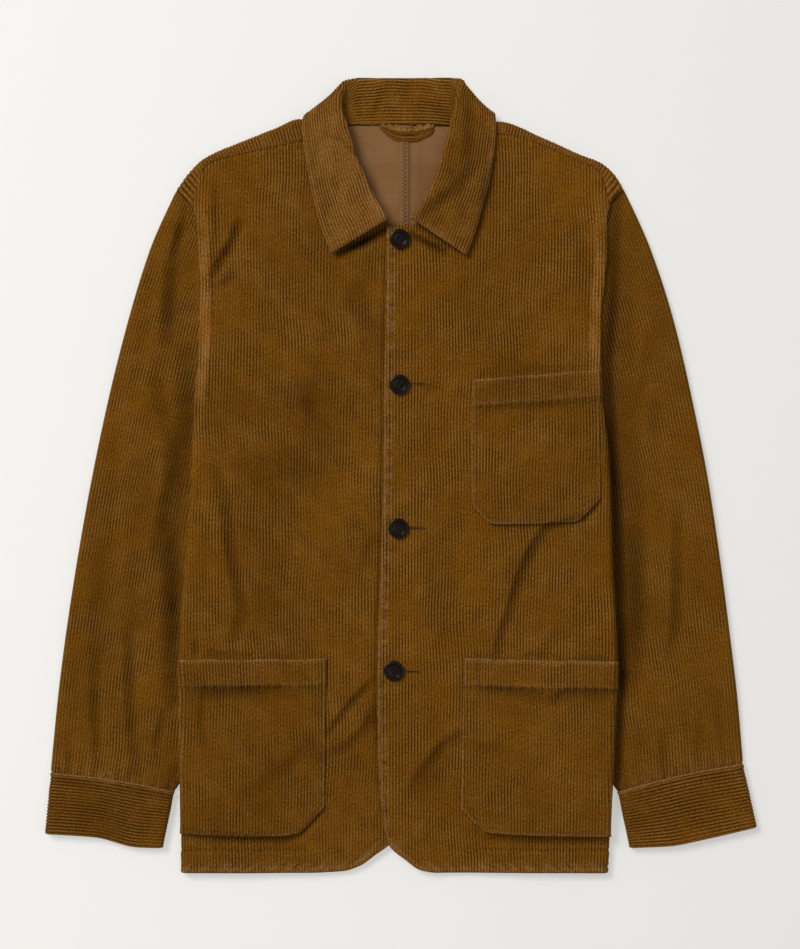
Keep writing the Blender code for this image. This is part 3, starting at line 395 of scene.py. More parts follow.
def folds_at(folds, out, height):
    """How deep the folds are at each point."""
    depth = np.zeros(np.shape(out))
    for run, half_width, deep in folds:
        away, share = nearest_on(run, out, height)
        across = np.clip(1 - (away / half_width) ** 2, 0, 1) ** 2
        depth += deep * across * (0.5 + 0.5 * arch(share))
    return depth


def nap_and_shade_at(x, height):
    """How much paler or darker the pile lies at each point, with painted shade in folds and beside
    edges.
    """
    shade = np.zeros(np.shape(x))
    for run, half_width, amount in NAP_AND_SHADE:
        away, share = nearest_on(run, x, height)
        shade += amount * np.clip(1 - (away / half_width) ** 2, 0, 1) ** 1.5 * (
            0.55 + 0.45 * arch(share))
    # painted shade in every fold, darker where the fold is deeper
    for side in SIDES:
        for folds in (BODY_FOLDS[side], SLEEVE_FOLDS[side]):
            shade -= FOLD_SHADE * folds_at(folds, side * x, height)
    return shade


# Each wave: turn per mm across and along, phase, and size in mm.
WAVES = ((0.067, 0.013, 0.4, 0.42), (-0.048, 0.031, 1.9, 0.34), (0.022, -0.057, 3.1, 0.30),
         (0.109, 0.022, 5.2, 0.16), (0.006, 0.083, 2.2, 0.12), (-0.021, 0.018, 4.0, 0.40))
WANDERS = ((0.021, 0.036, 0.7, 0.85), (-0.014, 0.063, 2.1, 0.50), (0.043, -0.029, 4.4, 0.42),
           (0.009, 0.118, 5.9, 0.16), (-0.037, 0.015, 1.2, 0.50))


def sum_of(waves, x, y):
    return sum(high * np.sin(across * x + along * y + phase)
               for across, along, phase, high in waves)


def uneven(x, y):
    """The slight unevenness of cloth that has been washed and laid by hand."""
    return sum_of(WAVES, x, y)


def wander(x, y):
    """How far the ribs stray sideways, because nobody pulls cloth quite straight."""
    return sum_of(WANDERS, x, y)


print("curve check, out of the right side at the chest:", round(float(curve(SIDE[RIGHT])(420)), 1))

# %% [markdown]
# ## How high each layer lies
# The backs lie on the floor, and the fronts on them with a little slack. Each sleeve runs in
# under the body below the armhole and lifts it there. The left front laps over the right.

# %% Heights of the layers
side_edge = {side: curve(SIDE[side]) for side in SIDES}
front_edge = {side: curve(FRONT_EDGE[side]) for side in SIDES}
front_hem = {side: curve(FRONT_HEM[side], 1, 0) for side in SIDES}
shoulder = {side: [curve(SHOULDER[side], 0, column) for column in (1, 2, 3)]
            for side in SIDES}


def place(side, out, height, z):
    out, height, z = np.broadcast_arrays(out, height, z)
    return np.stack([side * out, HEM_LINE + height, z], axis=-1)


def tucked(out, height, end):
    return step(out, *TUCK_OUT) * step(height, *TUCK_FROM_HEM) * (1 - step(height, *end))


def at_neck(out, height):
    return (1 - step(np.abs(out), *NECK_OUT)) * step(height, *NECK_HEIGHT)


def back_underside(out, height):
    return TUCK_LIFT * tucked(out, height, BACK_TUCK_END) + NECK_LIFT * at_neck(out, height)


def front_top(side, out, height):
    rise = TUCK_LIFT * tucked(out, height, FRONT_TUCK_END) + NECK_TOP_RISE * at_neck(out, height)
    if side == LEFT:
        rise = rise + OVERLAP_RISE * (1 - step(out, *OVERLAP_FADE))
    sag = HEM_SAG * (1 - step(height, *HEM_SAG_HEIGHT)) * (1 - step(np.abs(out), *HEM_SAG_OUT))
    calm = step(out, 24, 60)     # the overlap stays even, so that its layers keep apart
    loose = calm * uneven(side * out, height) - folds_at(BODY_FOLDS[side], out, height)
    return BODY_HEIGHT + rise - sag + loose


def seam_closed(height):
    return 1 - step(height, *SEAM_ENDS)


def quarter_length(across, down):
    """The length of a quarter of an ellipse, from flat (down = 0) to round."""
    return across + (math.pi / 2 - 1) * down ** 1.5 / across ** 0.5


def quarter_turn(share, roundness):
    """Sine of the angle at a share of the way round such a quarter."""
    share = np.clip(share, 0, 1)
    return mix(share, np.sin(share * math.pi / 2), np.clip(roundness, 0, 1))


def side_drop(side, height):
    start = side_edge[side](height) - EDGE_ROLL
    gap = front_top(side, start, height) - back_underside(start, height)
    return start, gap / 2 * seam_closed(height)


def on_front(side, out, height, raised=0.0):
    """A point of a front's face, or above it; past the side's start it rolls down."""
    start, drop = side_drop(side, height)
    closed = seam_closed(height)
    sine = quarter_turn((out - start) / quarter_length(EDGE_ROLL, drop), drop / EDGE_ROLL)
    past = out > start
    top = front_top(side, np.where(past, start, out), height)
    across = start + (EDGE_ROLL + raised * closed) * sine
    down = (drop + raised * closed) * (1 - np.sqrt(np.clip(1 - sine * sine, 0, 1)))
    return place(side, np.where(past, across, out), height,
                 top + raised - np.where(past, down, 0))


print("top of the left front at its middle, mm:", round(float(front_top(LEFT, 0, 400)), 2))

# %% [markdown]
# ## Ribbed cloth
# Corduroy is woven with pile in stripes, the wales. About eight make an inch here, so one
# is 3.1 mm wide. A texture could fake them, but real ridges catch the light along a fold and
# break the outline of a hem, so each wale gets four columns of points. The columns run along
# the wales, and each row of points ends exactly on the cloth's edge, as if cut there.
# The plain inside has far fewer points, and they are closest where it bends.

# %% The wales
INCH, WALES_TO_AN_INCH = 25.4, 8.2
WALE = INCH / WALES_TO_AN_INCH
COLUMN = WALE / 4
RIB_DEPTH, RIB_PROUD = 0.72, 0.15
HALVINGS = 34             # how often the way to an edge is halved
EDGE_CLEAR = 0.35         # a column nearer the edge than this share of one is left out
PILE_WAVES = ((0.31, 0.05, 0.3, 0.13), (-0.17, 0.24, 1.2, 0.13), (0.12, -0.11, 2.6, 0.17),
              (0.07, 0.29, 4.1, 0.12), (-0.41, 0.13, 5.0, 0.09), (0.043, 0.037, 0.9, 0.14))


def open_at(u, v):
    """How open the valleys are: 1 on average, less where the pile is brushed over them."""
    return np.clip(1 + sum_of(PILE_WAVES, u, v), 0.3, 1.6)


def ribs(u, opened=1.0):
    return RIB_PROUD + RIB_DEPTH * opened * (np.abs(np.cos(np.pi * u / WALE)) ** 0.5 - 1)


def find_edge(inside, path, shares, beyond, middle):
    """Where each row of points runs off the cloth, found by halving."""
    off = np.full(len(shares), float(beyond))
    on = np.full(len(shares), float(middle))
    for _ in range(HALVINGS):
        half = (off + on) / 2
        good = inside(half, path(half, shares)) > 0
        on, off = np.where(good, half, on), np.where(good, off, half)
    return on


def zip_chains(low, high, u):
    """Triangles between the ends of two rows whose columns differ."""
    i, j, faces = 0, 0, []
    while i < len(low) - 1 or j < len(high) - 1:
        along_low = i < len(low) - 1 and (
            j == len(high) - 1 or abs(u[low[i + 1]] - u[high[j]]) <= abs(u[high[j + 1]] - u[low[i]]))
        if along_low:
            faces.append((low[i], low[i + 1], high[j]))
            i += 1
        else:
            faces.append((low[i], high[j + 1], high[j]))
            j += 1
    return faces


def rib_grid(inside, path, shares, low, high, middle):
    """Rows of points on the wales' columns. Returns u, v, faces, the edge loop and rows."""
    shares = np.asarray(shares, float)
    starts = find_edge(inside, path, shares, low, middle)
    ends = find_edge(inside, path, shares, high, middle)
    rows, u, v, faces = [], [], [], []
    for share, start, end in zip(shares, starts, ends):
        first = math.ceil(start / COLUMN + EDGE_CLEAR)
        last = math.floor(end / COLUMN - EDGE_CLEAR)
        points = np.concatenate(([start], np.arange(first, last + 1) * COLUMN, [end]))
        rows.append((len(u), first, last, len(points)))
        u.extend(points)
        v.extend(path(points, np.full(len(points), share)))
    u, v = np.array(u), np.array(v)
    for (base, first, last, size), (base_2, first_2, last_2, size_2) in zip(rows, rows[1:]):
        at = max(first, first_2), min(last, last_2)
        lower, upper = list(range(base, base + size)), list(range(base_2, base_2 + size_2))
        if at[1] <= at[0]:
            faces += zip_chains(lower, upper, u)
            continue
        k, k_2 = base + 1 + at[0] - first, base_2 + 1 + at[0] - first_2
        steps = np.arange(at[1] - at[0])
        faces += np.stack([k + steps, k + steps + 1, k_2 + steps + 1, k_2 + steps], 1).tolist()
        faces += zip_chains(lower[:k - base + 1], upper[:k_2 - base_2 + 1], u)
        faces += zip_chains(lower[k - base + at[1] - at[0]:],
                            upper[k_2 - base_2 + at[1] - at[0]:], u)
    loop = list(range(rows[0][0], rows[0][0] + rows[0][3]))
    loop += [base + size - 1 for base, _, _, size in rows[1:-1]]
    loop += list(range(rows[-1][0] + rows[-1][3] - 1, rows[-1][0] - 1, -1))
    loop += [base for base, _, _, _ in rows[-2:0:-1]]
    return u, v, faces, loop, rows


def normals(shape, u, v, by=0.4):
    """Directions square to a surface, and the points themselves."""
    across = shape(u + by, v) - shape(u - by, v)
    along = shape(u, v + by) - shape(u, v - by)
    return unit(np.cross(across, along)), shape(u, v)


FINE_COLUMNS, COARSE_COLUMNS = 4, 12      # the plain inside has a point this often, in columns
INNER_STEP, BENT = 9.0, 0.3                # and this often along, or closer where it bends by BENT
surfaces = {}                              # each cloth's shape, relief, facing and open pile


def bend_at(shape, u, v, by=4.0):
    """How far a surface leaves a straight line within a few millimetres."""
    here = 2 * shape(u, v)
    return (np.linalg.norm(shape(u + by, v) + shape(u - by, v) - here, axis=1)
            + np.linalg.norm(shape(u, v + by) + shape(u, v - by) - here, axis=1))


def inner_faces(u, v, loop, rows, shape):
    """Triangles that fill the edge loop, with some of the cloth's own points."""
    points, always, last_v = [], [], None
    for base, first, last, size in rows[2:-2]:
        middle = base + size // 2
        if min(abs(v[middle] - v[rows[0][0] + rows[0][3] // 2]),
               abs(v[middle] - v[rows[-1][0] + rows[-1][3] // 2])) < INNER_STEP / 2:
            continue
        coarse_row = last_v is None or abs(v[middle] - last_v) >= INNER_STEP
        last_v = v[middle] if coarse_row else last_v
        for k in range(first, last + 1):
            i = base + 1 + k - first
            room = min(u[i] - u[base], u[base + size - 1] - u[i])
            if k % FINE_COLUMNS == 0 and room > COLUMN * FINE_COLUMNS:
                points.append(i)
                always.append(coarse_row and k % COARSE_COLUMNS == 0)
    points = np.array(points)
    kept = points[np.array(always) | (bend_at(shape, u[points], v[points]) > BENT)].tolist()
    ids = loop + kept
    flat = [Vector((u[i], v[i])) for i in ids]
    made = geometry.delaunay_2d_cdt(flat, [], [list(range(len(loop)))], 1, 1e-6)
    first_of = [came[0] if came else None for came in made[3]]
    faces = [tuple(ids[first_of[corner]] for corner in face) for face in made[2]
             if all(first_of[corner] is not None for corner in face)]
    return ids, faces


def edge_distance(u, v, rows):
    """How far each point is from the cloth's cut edge, roughly."""
    near = np.zeros(len(u))
    for base, _, _, size in rows:
        here = slice(base, base + size)
        near[here] = np.minimum(u[here] - u[base], u[base + size - 1] - u[here])
    for row in (rows[0], rows[-1]):
        ends = np.arange(row[0], row[0] + row[3])
        order = ends[np.argsort(u[ends])]
        near = np.minimum(near, np.abs(v - np.interp(u, u[order], v[order])))
    return near


# %% [markdown]
# A cloth's outer face is lifted by its ribs and by what its sewing does to it, the inner face
# lies one wall below, and a rounded rim with a middle ring closes the edge, so the piece is
# one closed thin shell. Its UV map holds the flat cloth in metres, which the pile's streaks and the
# weave follow. An attribute named worn says where edges and seams have been rubbed
# pale, and where a painted highlight lies on the hanger loop and the cuffs' seam ridges. One named
# nap makes the pile paler or darker in patches and holds painted shade: in folds, in
# stitched grooves, and where an edge or the body shades the cloth beside it.

# %% Cloth from a shape
EDGE_SOFT, EDGE_BULGE, WORN_REACH = 0.3, 0.24, 1.3
EDGE_REACH = 1.2     # how far in from the edge its cloth is rounded down
SKIN = 0.3           # no groove comes nearer than this to the cloth's inner face
GROOVE_FROM, GROOVE_MOST = 0.15, 1.2      # a groove is shaded past the one, up to the other
BRUSHED_APART = 61.0


def cloth(name, shape, inside, path, shares, low, high, middle, wall, facing,
          relief=None, ribs_inside=False, edge_worn=0.0, open_pile=1.0, paler=0.0):
    """One closed piece of ribbed cloth."""
    turn = BRUSHED_APART * len(surfaces)             # so that no two pieces are brushed alike
    u, v, faces, loop, rows = rib_grid(inside, path, shares, low, high, middle)
    square, points = normals(shape, u, v)
    out = square * facing
    near = edge_distance(u, v, rows)
    opened = open_pile * open_at(u, v + turn)
    lift, worn = ribs(u, opened), edge_worn * np.exp(-near / WORN_REACH)
    groove_depth = np.zeros(len(u))
    lift = lift - RIB_PROUD * (out[:, 2] < 0)
    if relief:
        extra, rubbed = relief(u, v)
        lift, worn = lift + extra, np.maximum(worn, rubbed)
        groove_depth = np.clip(-extra - GROOVE_FROM, 0, GROOVE_MOST)
    lift = lift - wall * EDGE_SOFT * np.clip(1 - near / EDGE_REACH, 0, 1) ** 2
    lift = np.maximum(lift, SKIN - wall)
    outer = points + out * lift[:, None]
    if ribs_inside:
        ids, below = list(range(len(u))), faces
        inner = points - out * (wall + ribs(u, opened))[:, None]
    else:
        ids, below = inner_faces(u, v, loop, rows, shape)
        inner = (points - out * wall)[ids]
    number = {i: len(u) + n for n, i in enumerate(ids)}
    ahead, behind = np.roll(loop, -1), np.roll(loop, 1)
    tangent = points[ahead] - points[behind]
    away = unit(np.cross(tangent, square[loop]))
    ring = points[loop] - out[loop] * wall / 2 + away * wall * EDGE_BULGE
    first_ring = len(u) + len(ids)
    mesh_faces = [tuple(face) for face in faces]
    mesh_faces += [tuple(number[i] for i in reversed(face)) for face in below]
    for n, (i, j) in enumerate(zip(loop, ahead)):
        m, m_2 = first_ring + n, first_ring + (n + 1) % len(loop)
        mesh_faces.append((int(j), i, m, m_2))
        mesh_faces.append((m_2, m, number[i], number[int(j)]))
    if facing < 0:
        mesh_faces = [face[::-1] for face in mesh_faces]
    every = np.concatenate([outer, inner, ring]) * MM
    every[:, 2] = np.maximum(every[:, 2], 0)         # the floor presses the underside flat
    mesh = bpy.data.meshes.new(name)
    mesh.from_pydata(every.tolist(), [], mesh_faces)
    slots = np.zeros(len(mesh_faces), np.int32)
    if not ribs_inside:
        slots[len(faces):len(faces) + len(below)] = 1
    mesh.polygons.foreach_set("material_index", slots)
    mesh.polygons.foreach_set("use_smooth", np.ones(len(mesh_faces), bool))
    flat_u = np.concatenate([u, u[ids], u[loop]]) * MM
    flat_v = np.concatenate([v, v[ids], v[loop]]) * MM
    corners = np.zeros(len(mesh.loops), np.int32)
    mesh.loops.foreach_get("vertex_index", corners)
    layer = mesh.uv_layers.new(name="UVMap")
    layer.uv.foreach_set("vector", np.stack([flat_u[corners], flat_v[corners]], 1).ravel())
    rubbed = np.concatenate([worn, worn[ids] * 0.5, np.full(len(loop), edge_worn)])
    nap = nap_and_shade_at(every[:, 0] / MM, every[:, 1] / MM - HEM_LINE) + paler
    # painted shade in the stitched grooves of the outer face
    nap[:len(u)] -= GROOVE_SHADE * groove_depth
    valleys = np.concatenate([opened, opened[ids], np.ones(len(loop))])
    for key, values in (("worn", rubbed), ("nap", nap), ("open", valleys)):
        mesh.attributes.new(key, "FLOAT", "POINT").data.foreach_set("value", values)
    mesh.update()
    piece = put(name, mesh)
    around_u, around_v = u[loop], v[loop]
    area = abs(np.sum(around_u * np.roll(around_v, -1) - np.roll(around_u, -1) * around_v)) / 2
    surfaces[name] = shape, relief, facing, lambda u, v: open_pile * open_at(u, v + turn)
    piece["flat"] = (float(np.ptp(u)) * MM, float(np.ptp(v)) * MM, float(area) * MM * MM)
    print(f"{name}: {len(mesh_faces)} faces, flat {np.ptp(u):.0f} x {np.ptp(v):.0f} mm")
    return piece


def spaced(length, gap, *near):
    """Shares of a length, gap apart, and closer together around each (place, reach, gap)."""
    at, places = 0.0, [0.0]
    while at < length:
        here = min([gap] + [fine for centre, reach, fine in near if abs(at - centre) < reach])
        at += here
        places.append(at)
    return np.clip(np.array(places) / places[-1], 0, 1)


# %% [markdown]
# ## Seams in the cloth
# A row of stitching pulls the cloth down into a fine groove, and each stitch draws it in a
# little, so the cloth beside a seam is dimpled. Folding an edge over makes two or three
# layers there, which stand a little proud as far as the stitching. The rubbed pile on these
# high places is paler.

# %% Grooves and dimples
GROOVE, GROOVE_HALF, DIMPLE = 0.75, 1.7, 5.2


def groove(away, along, deep=GROOVE, half=GROOVE_HALF):
    """How far the cloth is drawn in beside a line of stitches."""
    dimpled = 0.64 + 0.36 * np.sin(2 * np.pi * along / DIMPLE + 1.3 * np.sin(along / 17))
    return -deep * dimpled * hump(away, 0, half)


def proud(away, high=0.5, soft=1.2):
    """Raised on the positive side of a line."""
    return high * step(away, -soft, soft)


def puckers(away, along, high=0.35, length=9.5, reach=8.0):
    """Short ridges that run away from a seam."""
    wave = np.sin(2 * np.pi * along / length + 1.9 * np.sin(along / 31) + np.sin(along / 12))
    return high * wave * np.exp(-np.abs(away) / reach)


# %% [markdown]
# ## The fronts
# The left front laps over the right one. The wales run straight up and down. The front edge
# is turned in and stitched 6 mm from the fold, the hem is turned up 22 mm, and the facing
# behind the front edge shows only as a faint ridge. At the side the cloth rolls round to the
# back.

# %% Front panels
HEM_STITCH, EDGE_STITCH, ARMHOLE_STITCH = 22.5, 6.0, 12.5
FACING_OUT = {RIGHT: 95.0, LEFT: 76.0}
ARMHOLE_SPAN = ((458, 480), (655, 672))
HEM_FLAT_FROM = 50            # where the hem's rounded corner has levelled
FRONT_LONG = 690.0
seams = []                    # (piece, u and v of a run of stitches on its flat cloth)


def shoulder_point(side, stop, along):
    height, turn, _ = (column(stop) for column in shoulder[side])
    lean = np.radians(turn)
    return stop - np.sin(lean) * along, height - np.cos(lean) * along


def front_top_line(side):
    """Height of a front's upper edge over out: neckline, then shoulder seam."""
    stops = np.linspace(NECK_POINT, SHOULDER[side][-1][0], 60)
    outs, heights = shoulder_point(side, stops, shoulder[side][2](stops) + BUTTED_GAP)
    neck_outs = np.linspace(NECKLINE[side][0][1], NECK_POINT - 0.5, 90)
    neck_heights = curve(NECKLINE[side], 1, 0)(neck_outs)
    return np.concatenate([neck_outs, outs]), np.concatenate([neck_heights, heights])


def hem_slant(side, out):
    """How much longer the hem is than its width, where its corner is rounded."""
    slope = (front_hem[side](out + 1) - front_hem[side](out - 1)) / 2
    return np.sqrt(1 + slope * slope)


def hem_distance(side, out, height):
    """Distance in from the hem and its rounded corner."""
    return (height - front_hem[side](out)) / hem_slant(side, out)


def front(side):
    top_out, top_height = front_top_line(side)

    def out_of(u, v):
        return u + wander(side * u, v) * step(u, 4, 36)

    def path(u, share):
        low = front_hem[side](out_of(u, 10))
        return low + share * (np.interp(out_of(u, 700), top_out, top_height) - low)

    def inside(u, v):
        out = out_of(u, v)
        start, drop = side_drop(side, v)
        return np.minimum(out - front_edge[side](v), start + quarter_length(EDGE_ROLL, drop) - out)

    def shape(u, v):
        return on_front(side, out_of(u, v), v)

    def relief(u, v):
        out = out_of(u, v)
        from_hem = hem_distance(side, out, v)
        from_edge = np.minimum(out - front_edge[side](v), from_hem)
        level = step(out, FACING_OUT[side] - 2, FACING_OUT[side] + 3)
        lift = level * (groove(from_hem - HEM_STITCH, out, 1.4, 1.2)
                        + proud(HEM_STITCH - from_hem, 0.45)
                        + puckers(from_hem - HEM_STITCH, out, 0.3, 8.1, 7))
        low_part = 1 - step(v, HEM_STITCH, HEM_STITCH + 7)
        lift += low_part * groove(out - FACING_OUT[side], v, 0.8, 1.3)
        along = np.where(v > 90, v, v + out)
        lift += groove(from_edge - EDGE_STITCH, along, 1.25, 1.4)
        lift += proud(EDGE_STITCH - from_edge, 0.35, 1.5)
        lift += puckers(from_edge - EDGE_STITCH, along, 0.42, 5.3, 3)
        lift += puckers(from_edge - 9, along, 0.22, 12.0, 6)
        spots = 0.55 + 0.3 * np.sin(along / 1.9 + np.sin(along / 7)) + 0.25 * np.sin(along / 11)
        rubbed = np.clip(spots, 0, 1) * hump(from_edge, 1.7, 1.7, 4)
        band = 0.6 + 0.4 * np.sin(along / 2.6 + np.sin(along / 9))
        rubbed = np.maximum(0.55 * rubbed, 0.5 * band * hump(from_edge, 4.8, 4.6, 4))
        lift += proud(FACING_OUT[side] - out, 0.22, 2.0) * (1 - step(v, 30, 70))
        from_armhole = side_edge[side](v) - out
        open_part = step(v, *ARMHOLE_SPAN[0]) * (1 - step(v, *ARMHOLE_SPAN[1]))
        lift += open_part * (groove(from_armhole - ARMHOLE_STITCH, v, 1.1, 1.4)
                             + proud(ARMHOLE_STITCH - from_armhole, 0.7)
                             + puckers(from_armhole - ARMHOLE_STITCH, v, 0.34, 10.5, 9))
        from_top = np.interp(out, top_out, top_height) - v
        shoulder_seam = step(out, NECK_POINT, NECK_POINT + 8)
        lift -= shoulder_seam * (0.9 * np.exp(-np.abs(from_top) / 1.8)
                                 - 0.5 * hump(from_top, 5, 2))
        lift += shoulder_seam * puckers(from_top, out, 0.3, 7.3, 7)
        patchy = 0.6 + 0.4 * np.sin(v / 9 + np.sin(v / 23) + out / 5)
        felled = open_part * 0.34 * patchy * (1 - step(from_armhole, 10, 13))
        return lift, np.maximum(rubbed, felled)

    shares = spaced(FRONT_LONG, 3.4, (0, 5, 1.2), (6, 3, 1.2), (22, 6, 1.3), (14, 8, 2.6),
                    (FRONT_LONG, 10, 1.8))
    piece = cloth("front_cloth_" + NAMES[side], shape, inside, path, shares, -40, 250, 120,
                  WALL, side, relief, open_pile=0.96)

    v = np.linspace(638, 90, 160)
    corner = np.linspace(front_edge[side](60) + EDGE_STITCH, HEM_FLAT_FROM + 6, 60)
    around = front_hem[side](corner) + EDGE_STITCH * hem_slant(side, corner)
    u = np.concatenate([front_edge[side](v) + EDGE_STITCH, corner[around < 88]])
    seams.append((piece, u, np.concatenate([v, around[around < 88]])))
    u = np.linspace(FACING_OUT[side] + 1, side_edge[side](20) - EDGE_ROLL, 80)
    seams.append((piece, u, front_hem[side](u) + HEM_STITCH))
    v = np.linspace(ARMHOLE_SPAN[0][1] - 8, ARMHOLE_SPAN[1][0] + 6, 80)
    u = side_edge[side](v) - ARMHOLE_STITCH
    seams.append((piece, u - wander(side * u, v), v))
    return piece


fronts = {side: front(side) for side in SIDES}

# %% [markdown]
# ## The backs
# Each back panel lies face down, so the plain inside of the cloth shows through the neck.
# Over the shoulder it rolls forward as a narrow flap to the shoulder seam, and its wales turn
# with it, so on the flap they run aslant. The roll is built into the shape: past the shoulder
# line the flat cloth goes round half a circle and then lies on the front.

# %% Back panels
SHOULDER_ARC = math.pi * 5.3
SHEAR_REACH = 90.0
BACK_LONG = 760.0


def back(side):
    high_at, turn_at, width_at = shoulder[side]
    tip = SHOULDER[side][-1][0]
    seam = side * CENTRE_BACK + SEAM_GAP / 2

    def contact(u):
        turned = step(u, NECK_POINT - NECK_BEND, NECK_POINT)
        return high_at(u) - np.cos(np.radians(turn_at(u))) * SHOULDER_ROLL * turned, turned

    def path(u, share):
        start, turned = contact(u)
        end = start + (SHOULDER_ARC + width_at(u) - SHOULDER_ROLL) * turned
        low = mix(BACK_HEM_MIDDLE, BACK_HEM_SIDE, step(np.abs(u), *BACK_HEM_CURVE))
        return low + share * (end - low)

    def inside(u, v):
        start, drop = side_drop(side, v)
        limit = start + quarter_length(EDGE_ROLL, drop)
        return np.minimum(u - seam, np.minimum(limit, tip) - u)

    def shape(u, v):
        start, turned = contact(u)
        past = v - start
        lean, reach = np.radians(turn_at(u)), SHOULDER_ROLL * turned
        angle = np.clip(past / SHOULDER_ARC, 0, 1) * np.pi
        along = reach * (1 - np.sin(angle)) + np.clip(past - SHOULDER_ARC, 0, None)
        rolled = past > 0
        shear = np.sin(lean) * reach * step(past, -SHEAR_REACH, 0)
        out = np.where(rolled, u - np.sin(lean) * along, u - shear)
        height = np.where(rolled, high_at(u) - np.cos(lean) * along, v)
        low = back_underside(out, height)
        half = (front_top(side, out, height) - low) / 2
        z = low + half * (1 - np.cos(angle))
        begin, drop = side_drop(side, v)
        sine = quarter_turn((u - begin) / quarter_length(EDGE_ROLL, drop), drop / EDGE_ROLL)
        beside = (u > begin) & (past <= 0)
        rise = np.clip(drop - SEAM_GAP, 0, None) * (1 - np.sqrt(np.clip(1 - sine ** 2, 0, 1)))
        low_there = back_underside(begin, v)
        out = np.where(beside, begin + EDGE_ROLL * sine, out)
        return place(side, out, height, np.where(beside, low_there + rise, z))

    def relief(u, v):
        from_end = path(u, np.ones(np.shape(u))) - v
        turned = contact(u)[1]
        lift = puckers(from_end, u, 0.3, 7.9, 7) - 0.5 * np.exp(-from_end / 1.6)
        return turned * lift, 0.22 * np.exp(-from_end / 5) * turned

    shares = spaced(BACK_LONG, 9.0, (0, 4, 1.5), (BACK_LONG, 46, 2.4))
    return cloth("back_cloth_" + NAMES[side], shape, inside, path, shares, -30, 250, 120,
                 WALL, -side, relief)


backs = {side: back(side) for side in SIDES}

# %% [markdown]
# ## The sleeves
# A sleeve is cut as one piece and closed along the underarm. Laid flat it is two layers, and
# its wales follow the outer fold. So the flat cloth is measured from that fold: u is how far a
# point is from it, over the top layer (negative) or the lower one, and v how far down the
# sleeve. The cloth ends where it meets the armhole, the underarm fold or the cuff seam.

# %% Sleeves
SLEEVE_ARC = math.pi / 2 * 4.9        # a quarter of the way round a folded edge
SLEEVE_START = -0.6
FLATTEST = 5.0                        # two layers of cloth, pressed together
WANDER_FADE = (8, 46)     # the ribs run straight beside the outer fold
SLEEVE_OPEN = {RIGHT: 0.9, LEFT: 0.62}    # the left one's pile is brushed flatter
SLEEVE_PALER = {RIGHT: -0.02, LEFT: -0.10}
SLEEVE_STRAY = 60.0       # so that a sleeve's ribs don't stray as its front's do
CLOSED_BELOW = (440, UNDERARM)
POINTS_AT_ONCE, END_HALVINGS = 4000, 30


